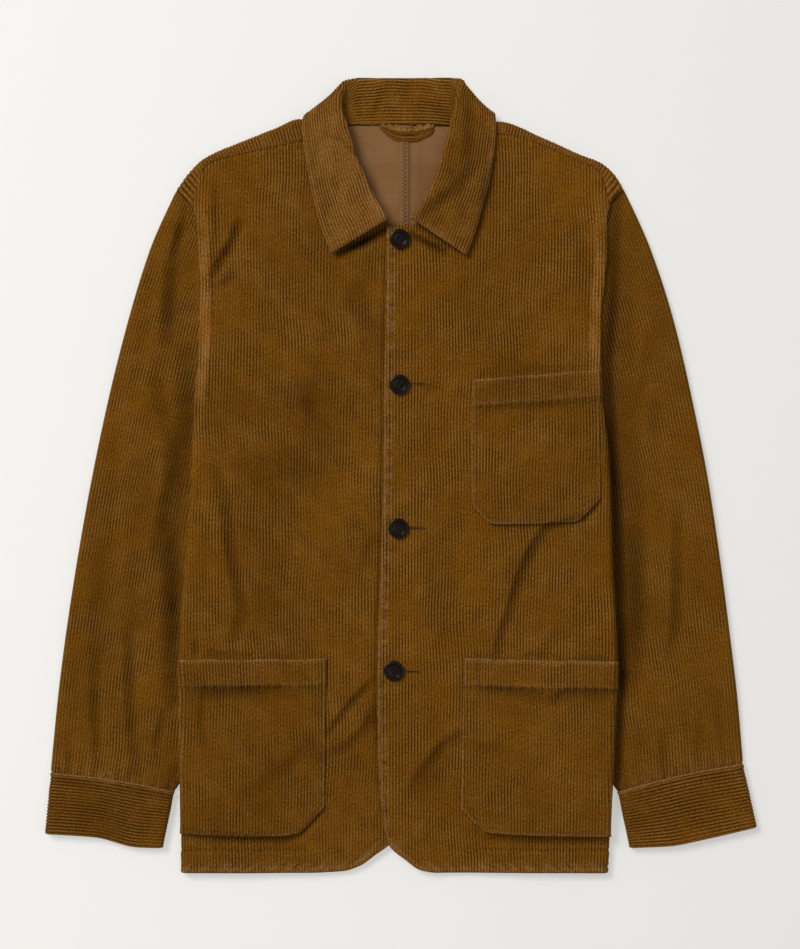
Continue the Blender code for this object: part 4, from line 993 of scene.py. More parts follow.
def sleeve(side):
    heights = np.linspace(SLEEVE_OUTER[side][0][0], SLEEVE_OUTER[side][-1][0], 400)
    outs = curve(SLEEVE_OUTER[side])(heights)
    lengths = travelled(outs, heights)
    slope_out, slope_h = np.gradient(outs, lengths), np.gradient(heights, lengths)
    total = lengths[-1]
    border = [(side_edge[side](h), h) for h in np.linspace(SIDE[side][-1][0], UNDERARM, 80)]
    inner_curve = curve(SLEEVE_INNER[side])
    border += [(inner_curve(h), h)
               for h in np.linspace(UNDERARM - 4, SLEEVE_INNER[side][-1][0], 120)]
    border += [(border[-1][0] + 20, border[-1][1] - 33)]
    border = np.array(border, float)
    way = unit(np.gradient(border, axis=0))
    square = np.stack([-way[:, 1], way[:, 0]], 1)      # towards the sleeve

    def from_border(p):
        """Signed distance to the armhole and underarm, the way out and the border's height."""
        nearest = np.zeros(len(p), int)
        for start in range(0, len(p), POINTS_AT_ONCE):
            part = slice(start, start + POINTS_AT_ONCE)
            nearest[part] = np.argmin(((p[part, None] - border[None]) ** 2).sum(2), axis=1)
        gap = p - border[nearest]
        return (gap * square[nearest]).sum(1), square[nearest], border[nearest, 1]

    def flat_point(u, v):
        within = np.clip(v, 0, total)
        past = v - within
        out_way = np.interp(within, lengths, slope_out)
        height_way = np.interp(within, lengths, slope_h)
        norm = np.hypot(out_way, height_way)
        out_way, height_way = out_way / norm, height_way / norm
        turn = quarter(np.abs(u) / SLEEVE_ARC)
        deep = SLEEVE_ROLL * (1 - np.cos(turn)) + np.clip(np.abs(u) - SLEEVE_ARC, 0, None)
        out = np.interp(within, lengths, outs) + out_way * past + height_way * deep
        height = np.interp(within, lengths, heights) + height_way * past - out_way * deep
        return np.stack([out, height], 1)

    def strayed(u, v):
        return u + wander(side * u + SLEEVE_STRAY, v) * step(np.abs(u), *WANDER_FADE)

    def spread(u, v):
        return flat_point(strayed(u, v), v)

    outer_end, inner_end = SLEEVE_OUTER[side][-1], SLEEVE_INNER[side][-1]

    def above_cuff(p):
        part = (outer_end[1] - p[:, 0]) / (outer_end[1] - inner_end[1])
        bow = CUFF_SEAM_BOW * arch(part)
        return p[:, 1] - mix(outer_end[0], inner_end[0], part) - bow

    ends_u = np.arange(-215.0, 216.0, 2.0)
    short, long = np.full(len(ends_u), total - 60), np.full(len(ends_u), total + 60)
    for _ in range(END_HALVINGS):
        half = (short + long) / 2
        above = above_cuff(flat_point(ends_u, half)) > 0
        short, long = np.where(above, half, short), np.where(above, long, half)

    def path(u, share):
        end = np.interp(strayed(u, total), ends_u, short)
        return SLEEVE_START + share * (end - SLEEVE_START)

    def felled(height):
        return FELL * (1 - step(height, *FELL_TOP)) * step(height, *FELL_LOW)

    def inside(u, v):
        away, _, at = from_border(spread(u, v))
        closed = 1 - step(at, *CLOSED_BELOW)
        fell = np.where(u < 0, felled(at), 0) - ARMHOLE_GAP
        return away + mix(fell, SLEEVE_ARC - SLEEVE_ROLL - SEAM_GAP / 2, closed)

    def top(out, height):
        under = np.minimum(front_top(side, np.minimum(out, side_edge[side](height)), height),
                           BODY_HEIGHT) - WALL - FELL_GAP
        low = mix(TUCK_HEIGHT, under, step(height, *SLEEVE_RISE_HEIGHT))
        beside = out - side_edge[side](height)
        outside = step(beside, *SLEEVE_RISE_OUT)
        full = SLEEVE_HEIGHT - folds_at(SLEEVE_FOLDS[side], out, height)
        hollow = step(beside, *SIDE_TROUGH_OUT[0]) * (1 - step(beside, *SIDE_TROUGH_OUT[1]))
        high = mix(low, full + 0.8 * uneven(side * out + 90, height), outside)
        return np.maximum(high - SIDE_TROUGH[side] * hollow, FLATTEST)

    def shape(u, v):
        p = spread(u, v)
        away, direction, at = from_border(p)
        closed = 1 - step(at, *CLOSED_BELOW)
        past = np.clip(SLEEVE_ROLL - away, 0, None)
        turn = quarter(past / SLEEVE_ARC)
        p = p + direction * ((past - SLEEVE_ROLL * np.sin(turn)) * closed)[:, None]
        high = top(p[:, 0], p[:, 1])
        fold = np.clip(u / SLEEVE_ARC, -1, 1) * np.pi / 2
        z = high / 2 * (1 - np.sin(fold))
        rim = high / 2 * closed * (1 - np.cos(turn))
        return place(side, p[:, 0], p[:, 1], z + np.where(u < 0, -rim, rim))

    def relief(u, v):
        from_cuff = path(u, np.ones(len(u))) - v
        on_top = step(-u, -4, 4)
        lift = (puckers(from_cuff, u, 0.8, 11.5, 13) + puckers(from_cuff, u, 0.3, 6.3, 6)) * on_top
        return lift - 0.5 * np.exp(-from_cuff / 3), 0.3 * np.exp(-from_cuff / 5)

    shares = spaced(total, 4.6, (total, 16, 2.0))
    return cloth("sleeve_cloth_" + NAMES[side], shape, inside, path, shares, -225, 225, 0,
                 WALL, -side, relief, open_pile=SLEEVE_OPEN[side], paler=SLEEVE_PALER[side])


sleeves = {side: sleeve(side) for side in SIDES}

# %% [markdown]
# ## The cuffs
# A cuff is a band turned double, with its wales running round the arm. So here u goes down
# the cuff and v round it, from the inner seam over the top to the outer fold and back below.
# Both faces are ribbed, because the cloth is turned in at the open edge.

# %% Cuffs
CUFF_WALES, CUFF_STITCH = 19, 3.4
CUFF_DEPTH = CUFF_WALES * WALE
CUFF_STRAY = 0.5
CUFF_ARC = math.pi / 2 * 5.25


def cuff(side):
    outer, inner = SLEEVE_OUTER[side][-1], SLEEVE_INNER[side][-1]
    wide = math.hypot(outer[1] - inner[1], outer[0] - inner[0])
    flat = wide - 2 * SLEEVE_ROLL
    around = 2 * flat + 4 * CUFF_ARC
    bottom = curve(CUFF_BOTTOM[side], 1, 0)
    bottom_outs = [row[1] for row in CUFF_BOTTOM[side]]

    def shape(u, v):
        v = np.clip(v, 0, around)
        over = np.where(v <= around / 2, v, around - v)          # from the inner fold outwards
        turn_in = quarter(over / CUFF_ARC)
        turn_out = quarter((over - CUFF_ARC - flat) / CUFF_ARC)
        across = SLEEVE_ROLL * (1 - np.cos(turn_in)) + np.clip(over - CUFF_ARC, 0, flat)
        across = across + SLEEVE_ROLL * np.sin(turn_out)
        part = 1 - across / wide
        bow = CUFF_SEAM_BOW * arch(part)
        top_out = mix(outer[1], inner[1], part)
        top_height = mix(outer[0], inner[0], part) + bow - BUTTED_GAP
        u = u + CUFF_STRAY * np.sin(v / 19 + side) * arch(u / CUFF_DEPTH)
        low_out = mix(bottom_outs[-1], bottom_outs[0], part)
        down = u / CUFF_DEPTH
        out, height = mix(top_out, low_out, down), mix(top_height, bottom(low_out), down)
        half = np.sin(turn_in) * np.cos(turn_out)
        sign = np.where(v <= around / 2, 1, -1)
        loose = 0.5 * uneven(side * out * 1.4, height) * half
        z = CUFF_HEIGHT / 2 * (1 + sign * half) + np.where(sign > 0, loose, 0)
        return place(side, out, height, z)

    def inside(u, v):
        return np.minimum(u, CUFF_DEPTH - u)

    def path(u, share):
        return share * (around - SEAM_GAP) + SEAM_GAP / 2 + 0 * u

    def relief(u, v):
        lift = 0.6 * hump(u, 1.4, 1.5) + puckers(u, v, 0.32, 10.5, 8)
        lift += groove(u - CUFF_STITCH, v, 0.7, 1.2)
        lift -= 0.7 * hump(u, 8.0, 4.0) * (0.7 + 0.3 * np.sin(v / 14))
        lift += 0.3 * hump(CUFF_DEPTH - u, 0, 3) + puckers(CUFF_DEPTH - u, v, 0.25, 13, 9)
        # the seam ridge at the cuff's top is painted pale: rubbed pile and a painted highlight
        return lift, 0.62 * hump(u, 0.9, 1.4)

    piece = cloth("cuff_cloth_" + NAMES[side], shape, inside, path, spaced(around, 4.0), -5,
                  CUFF_DEPTH + 5, CUFF_DEPTH / 2, CUFF_WALL, side, relief, ribs_inside=True,
                  edge_worn=0.35, open_pile=1.4)
    v = np.linspace(CUFF_ARC * 0.6, around / 2 - CUFF_ARC * 0.4, 60)
    seams.append((piece, np.full(60, CUFF_STITCH), v))
    return piece


cuffs = {side: cuff(side) for side in SIDES}

# %% [markdown]
# ## The collar
# One band makes the stand, the fold and the leaf. A table gives where its neck seam, fold and
# edge run, with their heights, from the centre back round to each point. Between rows the
# three lines run smoothly, and the section is leaf, half round fold and stand. Its wales run
# along it, and both of its faces are ribbed, because the collar is two layers of corduroy.

# %% Collar lines: seam out, height, z; fold out, height, z; edge out, height, z
COLLAR = {
    RIGHT: (
        (26, 747.8, 4.6, 24, 793, 3.9, 27, 734, 1.3), (47, 747.8, 4.6, 42, 793, 4.0, 52, 736, 1.3),
        (58, 748.2, 4.8, 50, 792, 4.9, 72, 742.8, 1.3),
        (66, 750, 7.0, 56, 789.5, 7.2, 88, 753.5, 2.2),
        (70, 752, 10.5, 58.5, 782, 12.0, 94.5, 756, 8.5),
        (72.5, 750, 15.0, 61, 774, 16.0, 98, 748, 16.2),
        (72, 741, 16.2, 60.5, 762, 19.0, 97, 731, 17.4),
        (68, 724, 16.2, 54.5, 745, 20.5, 94, 711, 17.0),
        (62.5, 702, 15.6, 48, 720, 20.5, 90.5, 690, 16.6),
        (52, 680, 15.2, 38, 697, 19.8, 85, 665, 16.4),
        (37, 664, 14.8, 28, 675, 18.6, 78, 641, 16.8),
        (16, 650.5, 14.6, 13, 652, 17.2, 69, 618, 17.4),
    ),
    LEFT: (
        (28, 747.8, 4.6, 31, 793, 3.9, 30, 734, 1.3), (49, 747.8, 4.6, 50, 793, 4.0, 55, 736, 1.3),
        (58, 748.2, 4.8, 58, 792.3, 4.9, 74, 745, 1.3),
        (66, 750, 7.0, 60, 789.5, 7.2, 88.5, 756.5, 2.2),
        (70, 752, 10.5, 58, 782, 12.0, 93.5, 757, 8.5),
        (72.5, 750, 15.0, 55.5, 773, 16.0, 94, 747, 16.2),
        (72, 741, 16.2, 53.5, 761, 19.0, 93.5, 731, 17.4),
        (66, 724, 16.2, 49.5, 743, 20.5, 91, 711, 17.0),
        (59, 700, 15.6, 43.5, 719, 20.5, 87.5, 690, 16.6),
        (47, 680, 15.2, 35, 696, 19.8, 81, 665, 16.4),
        (33, 664, 14.8, 24, 672, 18.6, 74, 640, 16.8),
        (12, 650.5, 16.9, 10, 652, 19.4, 65, 616, 17.6),
    ),
}
FOLD_RADIUS = 2.5
COLLAR_ROOM = 140.0       # the table goes this far in from the leaf's edge
COLLAR_STITCH, LEAF_LIFTED = 6.0, 92.0

# %% Collar


def collar_table(between=8):
    """Points of the collar's middle layer at each station, 1 mm apart from its edge inwards."""
    rows = [[(side * r[i], r[i + 1], r[i + 2]) for i in (0, 3, 6)]
            for side, table in ((RIGHT, COLLAR[RIGHT][::-1]), (LEFT, COLLAR[LEFT]))
            for r in table]
    rows = np.array(rows, float)                    # station, line, axis
    stations = np.linspace(0, len(rows) - 1, (len(rows) - 1) * between + 1)
    lines = np.stack([[curve(list(enumerate(rows[:, line, axis])))(stations)
                       for axis in range(3)] for line in range(3)])
    seam, fold, edge = (lines[line].T for line in range(3))
    backwards = unit(fold - (seam + edge) / 2)
    apart = edge - seam
    apart = unit(apart - backwards * (apart * backwards).sum(1)[:, None])
    radius = np.minimum(FOLD_RADIUS, np.linalg.norm(edge - seam, axis=1))[:, None]
    centre = fold - backwards * radius
    arc = [centre + backwards * radius * math.cos(a) + apart * radius * math.sin(a)
           for a in np.linspace(math.pi / 2, -math.pi / 2, 13)]
    leaf = [mix(edge, arc[0], part) for part in np.linspace(0, 1, 12)[:-1]]
    stand = [mix(arc[-1], seam, part) for part in np.linspace(0, 1, 8)[1:]]
    section = np.stack(leaf + arc + stand)          # part, station, axis
    steps = np.linalg.norm(np.diff(section, axis=0), axis=2)
    length = np.concatenate([np.zeros((1, len(stations))), np.cumsum(steps, axis=0)])
    across = np.arange(0, COLLAR_ROOM, 1.0)
    grid = np.zeros((len(stations), len(across), 3))
    for j in range(len(stations)):
        for axis in range(3):
            grid[j, :, axis] = np.interp(across, length[:, j], section[:, j, axis])
        last = length[-1, j]
        onward = (section[-1, j] - section[-2, j]) / steps[-1, j]
        beyond = across > last
        grid[j, beyond] = section[-1, j] + onward * (across[beyond] - last)[:, None]
    middle = mix(fold, edge, 0.35)
    run = np.concatenate(([0], np.cumsum(np.linalg.norm(np.diff(middle, axis=0), axis=1))))
    return grid, run, length[-1]


collar_grid, collar_run, collar_wide = collar_table()
collar_end = collar_run[-1]
FOLD_AT = 60.0                # how far in from the leaf's edge the collar folds
print("collar: edge to seam, mm:", np.round(collar_wide[[0, 88, -1]], 1))


def collar_middle(u, v):
    j = np.interp(v, collar_run, np.arange(len(collar_run)))
    a = np.clip(j.astype(int), 0, len(collar_run) - 2)
    b = np.clip(np.floor(u).astype(int), 0, collar_grid.shape[1] - 2)
    s, t = (j - a)[:, None], np.clip(u - b, -1, 2)[:, None]
    low = mix(collar_grid[a, b], collar_grid[a, b + 1], t)
    high = mix(collar_grid[a + 1, b], collar_grid[a + 1, b + 1], t)
    point = mix(low, high, s)
    return place(1, point[:, 0], point[:, 1], point[:, 2])


POINT_LIFT, POINT_REACH = 4.4, 15.0       # the ends of the leaf stand off the fronts
COLLAR_STRAY = 1.1
STAND_FOLDS = (
    (((-38, 790), (-44, 768), (-40, 752)), 6, 0.5), (((-15, 791), (-22, 770), (-30, 756)), 7, 0.5),
    (((10, 791), (4, 770), (-6, 758)), 7, 0.4), (((42, 788), (38, 766), (40, 754)), 7, 0.45),
    (((-28, 790), (-34, 768)), 6, -0.35), (((24, 790), (20, 764)), 8, -0.3),
)
COLLAR_FOLDS = (
    (((-76, 736), (-60, 729), (-43, 713)), 5, 1.3), (((-78, 728), (-64, 721), (-50, 706)), 6, -0.8),
    (((66, 770), (70, 744), (66, 716)), 10, 1.1), (((52, 690), (62, 664), (64, 640)), 9, 0.9),
    (((-80, 690), (-72, 660), (-66, 636)), 10, 0.9), (((-30, 672), (-42, 652)), 9, -0.7),
    (((80, 700), (76, 672), (70, 640)), 7, -0.8), (((74, 707), (54, 682), (26, 657)), 10, 1.5),
    (((-68, 694), (-58, 674)), 7, 0.9),
)


def collar_offset(u, v):
    """The face of the collar that shows: half its thickness off its middle."""
    square, middle = normals(collar_middle, u, v, by=0.6)
    return middle + square * DOUBLE_WALL / 2


def collar_shape(u, v):
    wide = np.interp(v, collar_run, collar_wide)
    within = arch(u / wide)
    stray = COLLAR_STRAY * (np.sin(v / 13 + 0.5) + 0.6 * np.sin(v / 5.7)) * within
    point = collar_offset(u + stray, v)
    from_end = np.clip(np.minimum(v, collar_end - v), 0, None)
    leaf = step(u, 6, 46) * (1 - step(u, FOLD_AT + 4, LEAF_LIFTED))
    point[:, 2] += POINT_LIFT * hump(from_end, 0, POINT_REACH) * leaf
    return point


def collar_relief(u, v):
    wide = np.interp(v, collar_run, collar_wide)
    from_end = np.minimum(v, collar_end - v)
    inner = np.minimum(u, from_end)
    lift = groove(inner - COLLAR_STITCH, np.where(u < from_end, v, u), 0.4, 1.3)
    lift += proud(COLLAR_STITCH - inner, 0.25) + puckers(inner, u + v, 0.2, 8.7, 6)
    lift += groove(wide - u - 1.5, v, 0.3)
    spot = collar_middle(u, v)
    leaf = 1 - step(u, LEAF_LIFTED - 30, LEAF_LIFTED - 12)
    lift -= folds_at(COLLAR_FOLDS, spot[:, 0], spot[:, 1] - HEM_LINE) * leaf
    stand = step(u, FOLD_AT, FOLD_AT + 8)
    lift -= folds_at(STAND_FOLDS, spot[:, 0], spot[:, 1] - HEM_LINE) * stand
    lift += (0.3 + 0.25 * stand) * np.sin(v / 21 + 0.8) * np.sin(u / 16 + v / 60)
    lift += stand * 0.35 * np.sin(v / 3.1) * hump(v, 0.46 * collar_end, 16)
    turned = hump(u, FOLD_AT, 4)
    most_worn = 0.2 * leaf * step(v, 160, 110)          # the right leaf, brushed by the hand
    return lift, np.maximum(0.35 * turned + most_worn, 0.25 * hump(inner, 0, 5))


collar = cloth(
    "collar_cloth", collar_shape,
    lambda u, v: np.minimum(u, np.interp(v, collar_run, collar_wide) - u),
    lambda u, share: share * collar_end + 0 * u, spaced(collar_end, 3.4), -5, 139, 20,
    DOUBLE_WALL, 1, collar_relief, ribs_inside=True, edge_worn=0.4, open_pile=1.15, paler=0.08)
v = np.linspace(COLLAR_STITCH, collar_end - COLLAR_STITCH, 200)
seams.append((collar, np.full(200, COLLAR_STITCH), v))
for end in (COLLAR_STITCH, collar_end - COLLAR_STITCH):
    u = np.linspace(COLLAR_STITCH + 2, FOLD_AT - 6, 30)
    seams.append((collar, u, np.full(30, end)))

# %% [markdown]
# ## The pockets
# Each pocket is a patch sewn on round three sides, with its lower corners cut off and its
# mouth folded to a band. The outer edges of the lower ones run into the side seams. A pocket
# follows the front that it lies on, half a millimetre off it, and its mouth gapes a little.

# %% Pockets: inner and outer edge (mouth, bottom), mouth and bottom heights (inner, outer)
POCKETS = {
    "chest_pocket": dict(side=LEFT, inner=(71.5, 71.5), outer=(197.5, 197.5), mouth=(492, 501.5),
                         bottom=(347.5, 350.5), chamfer=(16.5, 20, 21, 22), band=27.5),
    "lower_pocket_right": dict(side=RIGHT, inner=(75, 77), outer=None, mouth=(214, 213),
                               bottom=(38.5, 38.5), chamfer=(24, 26, 0, 0), band=27.5),
    "lower_pocket_left": dict(side=LEFT, inner=(63, 59.5), outer=None, mouth=(214.5, 211.5),
                              bottom=(40.5, 36.5), chamfer=(24, 25, 0, 0), band=29),
}
SAG = {"chest_pocket": 0.3, "lower_pocket_right": 3.2, "lower_pocket_left": 0.8}
POCKET_OPEN = {"chest_pocket": 0.94, "lower_pocket_right": 0.88, "lower_pocket_left": 0.74}
BAND_RISE, MOUTH_GAPE, POCKET_SLACK, POCKET_STITCH = 1.2, 1.2, 0.8, 3.0
POCKET_TURN = 0.55       # how far round the side roll a lower pocket's edge is caught in


def soft_ramp(x, soft=0.2):
    """0 below 0 and x above it, with the bend between them rounded."""
    return (x + np.sqrt(x * x + soft * soft)) / 2


def pocket_lines(side, inner, outer, mouth, bottom, chamfer, sag):
    """Functions for a pocket's mouth, bottom, inner and outer limits."""
    cut_in, rise_in, cut_out, rise_out = chamfer

    def share_across(u):
        right = outer[0] if outer else side_edge[side](np.full(np.shape(u), mouth[0])) - EDGE_ROLL
        return np.clip((u - inner[0]) / (right - inner[0]), 0, 1)

    def mouth_at(u):
        part = share_across(u)
        slack = 0.6 * np.sin(u / 9.5 + mouth[0]) + 0.5 * np.sin(u / 23)
        return mix(mouth[0], mouth[1], part) + slack * arch(part)

    def bottom_at(u):
        part = share_across(u)
        low = mix(bottom[0], bottom[1], part) + sag * (0.4 - arch(part))
        low = low + rise_in * soft_ramp(1 - (u - inner[1]) / cut_in)
        if outer:
            low = low + rise_out * soft_ramp(1 - (outer[1] - u) / cut_out)
        return low

    def left_at(v):
        return mix(inner[1], inner[0], (v - bottom[0]) / (mouth[0] - bottom[0]))

    def right_at(v):
        if outer:
            return mix(outer[1], outer[0], (v - bottom[1]) / (mouth[1] - bottom[1]))
        start, drop = side_drop(side, v)
        return start + POCKET_TURN * quarter_length(EDGE_ROLL, drop)
    return mouth_at, bottom_at, left_at, right_at


def pocket(name, side, inner, outer, mouth, bottom, chamfer, band):
    mouth_at, bottom_at, left_at, right_at = pocket_lines(
        side, inner, outer, mouth, bottom, chamfer, SAG[name])
    turn = 40 * side + inner[0]           # so that no two pockets wander alike

    def out_of(u, v):
        fade = step(u - inner[0], 3, 22)
        return u + 0.8 * wander(side * u + turn, v + turn) * fade

    def path(u, share):
        low = bottom_at(out_of(u, bottom[0]))
        return low + share * (mouth_at(out_of(u, mouth[0])) - low)

    def inside(u, v):
        out = out_of(u, v)
        return np.minimum(out - left_at(v), right_at(v) - out)

    def shape(u, v):
        out = out_of(u, v)
        down = mouth_at(out) - v
        width = right_at(v) - left_at(v)
        middle = np.clip((out - left_at(v)) * (right_at(v) - out) * 4 / width ** 2, 0, 1)
        folded = BAND_RISE * (1 - step(down, band - 3, band + 6))
        near_mouth = np.exp(-np.clip(down, 0, None) / 16)
        gape = middle * near_mouth * (MOUTH_GAPE + 0.5 * np.sin(out / 8.5 + side))
        at_bottom = 1.3 * np.exp(-np.clip(v - bottom_at(out), 0, None) / 7)
        ripple = 0.6 + 0.4 * np.sin(out / 23 + v / 31 + turn)
        slack = at_bottom + POCKET_SLACK * middle ** 0.5 * ripple
        return on_front(side, out, v, LAY_GAP + WALL + folded + gape + slack)

    def relief(u, v):
        out = out_of(u, v)
        down = mouth_at(out) - v
        to_side = right_at(v) - out if outer else 1e3
        around = np.minimum(np.minimum(out - left_at(v), v - bottom_at(out)), to_side)
        lift = groove(down - band, out, 1.0, 1.5) + puckers(down - band, out, 0.45, 9.3, 7)
        lift += groove(around - POCKET_STITCH, out + v, 0.55, 1.1)
        lift += puckers(around, out + v, 0.3, 7.7, 6)
        rubbed = np.maximum(0.5 * hump(down, 1.0, 1.3),
                            0.22 * hump(down - band + 3, 0, 2.5))
        return lift, rubbed

    tall = mouth[0] - bottom[0]
    shares = spaced(tall, 4.2, (0, 6, 1.3), (tall - band, 7, 1.4), (tall, 5, 1.3))
    middle = (inner[0] + (outer[0] if outer else 200)) / 2
    piece = cloth(name + "_cloth", shape, inside, path, shares, inner[0] - 30, 240, middle,
                  WALL, side, relief, edge_worn=0.6, open_pile=POCKET_OPEN[name], paler=-0.09)
    v = mouth[0] - band
    u = np.linspace(left_at(v) + 2, right_at(np.array([v]))[0] - 3, 90)
    seams.append((piece, u, mouth_at(u) - band))
    v = np.linspace(mouth[0] - 2, bottom[0] + chamfer[1] + 1, 80)
    u = left_at(v) + POCKET_STITCH
    low_u = np.linspace(inner[1] + POCKET_STITCH + 1, (outer[1] if outer else 206) - 3, 80)
    low_v = bottom_at(low_u) + POCKET_STITCH * 1.2
    seams.append((piece, np.concatenate([u, low_u]), np.concatenate([v, low_v])))
    return piece


pockets = {name: pocket(name, **sizes) for name, sizes in POCKETS.items()}

# %% [markdown]
# ## Corduroy
# The colour is a tobacco brown, with painted shade between the wales and a painted highlight
# on their crests, and paler where the pile is rubbed. Its pattern is drawn on the UV map, so it
# follows the cloth round every fold: the wale's phase paints the shade in the valleys and the
# highlight on the crests, stretched noise makes the streaks of the pile, and a soft cloud makes
# the uneven dye. The pile scatters light at a grazing angle, which is what sheen does.

# %% Corduroy material


class Nodes:
    """A small helper that adds and links shader nodes."""

    def __init__(self, name):
        self.material = bpy.data.materials.new(name)
        self.material.use_nodes = True
        self.tree = self.material.node_tree
        self.shader = self.tree.nodes["Principled BSDF"]

    def feed(self, node, inputs):
        """Set each input of a node to a value, or link it to another node's output."""
        for key, value in inputs.items():
            if hasattr(value, "is_output"):
                self.tree.links.new(value, node.inputs[key])
            else:
                node.inputs[key].default_value = value

    def add(self, kind, inputs=None, **settings):
        node = self.tree.nodes.new(kind)
        for key, value in settings.items():
            setattr(node, key, value)
        self.feed(node, inputs or {})
        return node

    def finished(self, inputs):
        """The material, with its shader's inputs set."""
        self.feed(self.shader, inputs)
        return self.material

    def flat_cloth(self):
        return self.add("ShaderNodeUVMap", uv_map="UVMap").outputs["UV"]

    def own_place(self):
        return self.add("ShaderNodeTexCoord").outputs["Object"]

    def across(self, vector):
        return self.add("ShaderNodeSeparateXYZ", {0: vector}).outputs[0]

    def attribute(self, name):
        return self.add("ShaderNodeAttribute", attribute_name=name).outputs["Fac"]

    def maths(self, operation, first, second=0.0):
        return self.add("ShaderNodeMath", {0: first, 1: second}, operation=operation).outputs[0]

    def plus(self, first, second):
        return self.maths("ADD", first, second)

    def times(self, first, second):
        return self.maths("MULTIPLY", first, second)

    def blend(self, share, first, second, how="MIX"):
        return self.add("ShaderNodeMix", {0: share, 6: first, 7: second},
                        data_type="RGBA", blend_type=how).outputs[2]

    def noise(self, vector, scale, detail=2.0, rough=0.5, turn=0.0):
        """Noise at one scale, or stretched by a scale for each axis."""
        if isinstance(scale, tuple):
            vector = self.add("ShaderNodeMapping", {"Vector": vector, "Scale": scale,
                              "Rotation": (0, 0, turn)}).outputs[0]
            scale = 1.0
        return self.add("ShaderNodeTexNoise", {"Vector": vector, "Scale": scale,
                        "Detail": detail, "Roughness": rough}).outputs["Fac"]

    def ramp(self, value, low, high, to_low=0.0, to_high=1.0):
        return self.add("ShaderNodeMapRange", {
            "Value": value, "From Min": low, "From Max": high, "To Min": to_low,
            "To Max": to_high}).outputs["Result"]

    def bump(self, height, distance, strength):
        return self.add("ShaderNodeBump", {"Height": height, "Distance": distance,
                        "Strength": strength}).outputs[0]


DYE = (0.155, 0.0592, 0.0036, 1)
DYE_WARM = (0.185, 0.067, 0.0032, 1)
DYE_HIGHLIGHT_AND_RUBBED = (0.235, 0.117, 0.025, 1)      # painted highlight on the crests of the wales; also the paler tone of rubbed cloth
DYE_PALE = (0.285, 0.150, 0.056, 1)       # rubbed pile, and the painted highlight on the hanger loop's upper half and the cuffs' seam ridges
DYE_DEEP_AND_VALLEY_SHADE = (0.043, 0.0140, 0.0010, 1)     # painted shade between the wales; also the darker patches of the uneven dye
GROUND, GROUND_PALE = (0.160, 0.074, 0.020, 1), (0.225, 0.112, 0.036, 1)    # the plain inside
GROUND_FADED = (0.25, 0.125, 0.060, 1)


def corduroy_material(name, worn_more=0.0):
    made = Nodes(name)
    uv = made.flat_cloth()
    stray = made.times(made.noise(uv, 160, 2), 0.0005)
    phase = made.times(made.plus(made.across(uv), stray), math.pi / (WALE * MM))
    ridge = made.maths("ABSOLUTE", made.maths("COSINE", phase))
    streak = made.noise(uv, (2600, 330, 1), 3, 0.6)
    tuft = made.noise(uv, (900, 620, 1), 2, 0.6)
    tufted = made.ramp(tuft, 0.3, 0.7)
    cloud = made.ramp(made.noise(uv, 9, 3), 0.35, 0.7)
    stands = made.ramp(made.noise(uv, 21, 3, 0.6), 0.40, 0.60)   # 1 where the pile stands up
    worn = made.attribute("worn")
    colour = made.blend(made.ramp(streak, 0.3, 0.72), DYE, DYE_WARM)
    colour = made.blend(made.times(cloud, 0.28), colour, DYE_DEEP_AND_VALLEY_SHADE)
    # painted highlight on the crests of the wales, stronger where the pile stands
    crest_highlight = made.times(made.maths("POWER", ridge, 2.5), made.plus(0.12, made.times(stands, 0.5)))
    colour = made.blend(made.times(crest_highlight, made.plus(0.4, tufted)), colour, DYE_HIGHLIGHT_AND_RUBBED)
    # rubbed pile, and painted highlight on the hanger loop and the cuffs' seam ridges
    rubbed_and_highlight = made.times(worn, made.plus(0.35, tufted))
    colour = made.blend(made.maths("MINIMUM", rubbed_and_highlight, 0.85), colour, DYE_PALE)
    if worn_more:
        colour = made.blend(worn_more, colour, DYE_HIGHLIGHT_AND_RUBBED)
    # painted shade in the valleys between the wales
    valley_shade = made.maths("SUBTRACT", 1.0, made.maths("POWER", ridge, 1.1))
    crisp = made.maths("SUBTRACT", made.plus(0.50, made.times(stands, 0.48)),
                       made.times(worn, 0.35))
    crisp = made.maths("MINIMUM", made.times(crisp, made.attribute("open")), 1.0)
    colour = made.blend(made.times(valley_shade, crisp), colour, DYE_DEEP_AND_VALLEY_SHADE)
    fuzz = made.ramp(made.noise(uv, (720, 430, 1), 1), 0.33, 0.67)
    soft = made.plus(0.667, made.times(fuzz, 0.667))
    # the pile's paler and darker patches, with painted shade in folds, grooves and beside edges
    nap_and_shade_tone = made.maths("MAXIMUM", made.plus(1.02, made.attribute("nap")), 0.05)
    colour = made.blend(1.0, colour, made.times(nap_and_shade_tone, soft), "MULTIPLY")
    fibres = made.plus(streak, made.times(tuft, 0.8))
    return made.finished({
        "Base Color": colour, "Normal": made.bump(fibres, 0.00035, 0.7), "Roughness": 0.95,
        "Specular IOR Level": 0.03, "Sheen Weight": 0.08, "Sheen Roughness": 0.5,
        "Sheen Tint": (0.80, 0.46, 0.06, 1)})


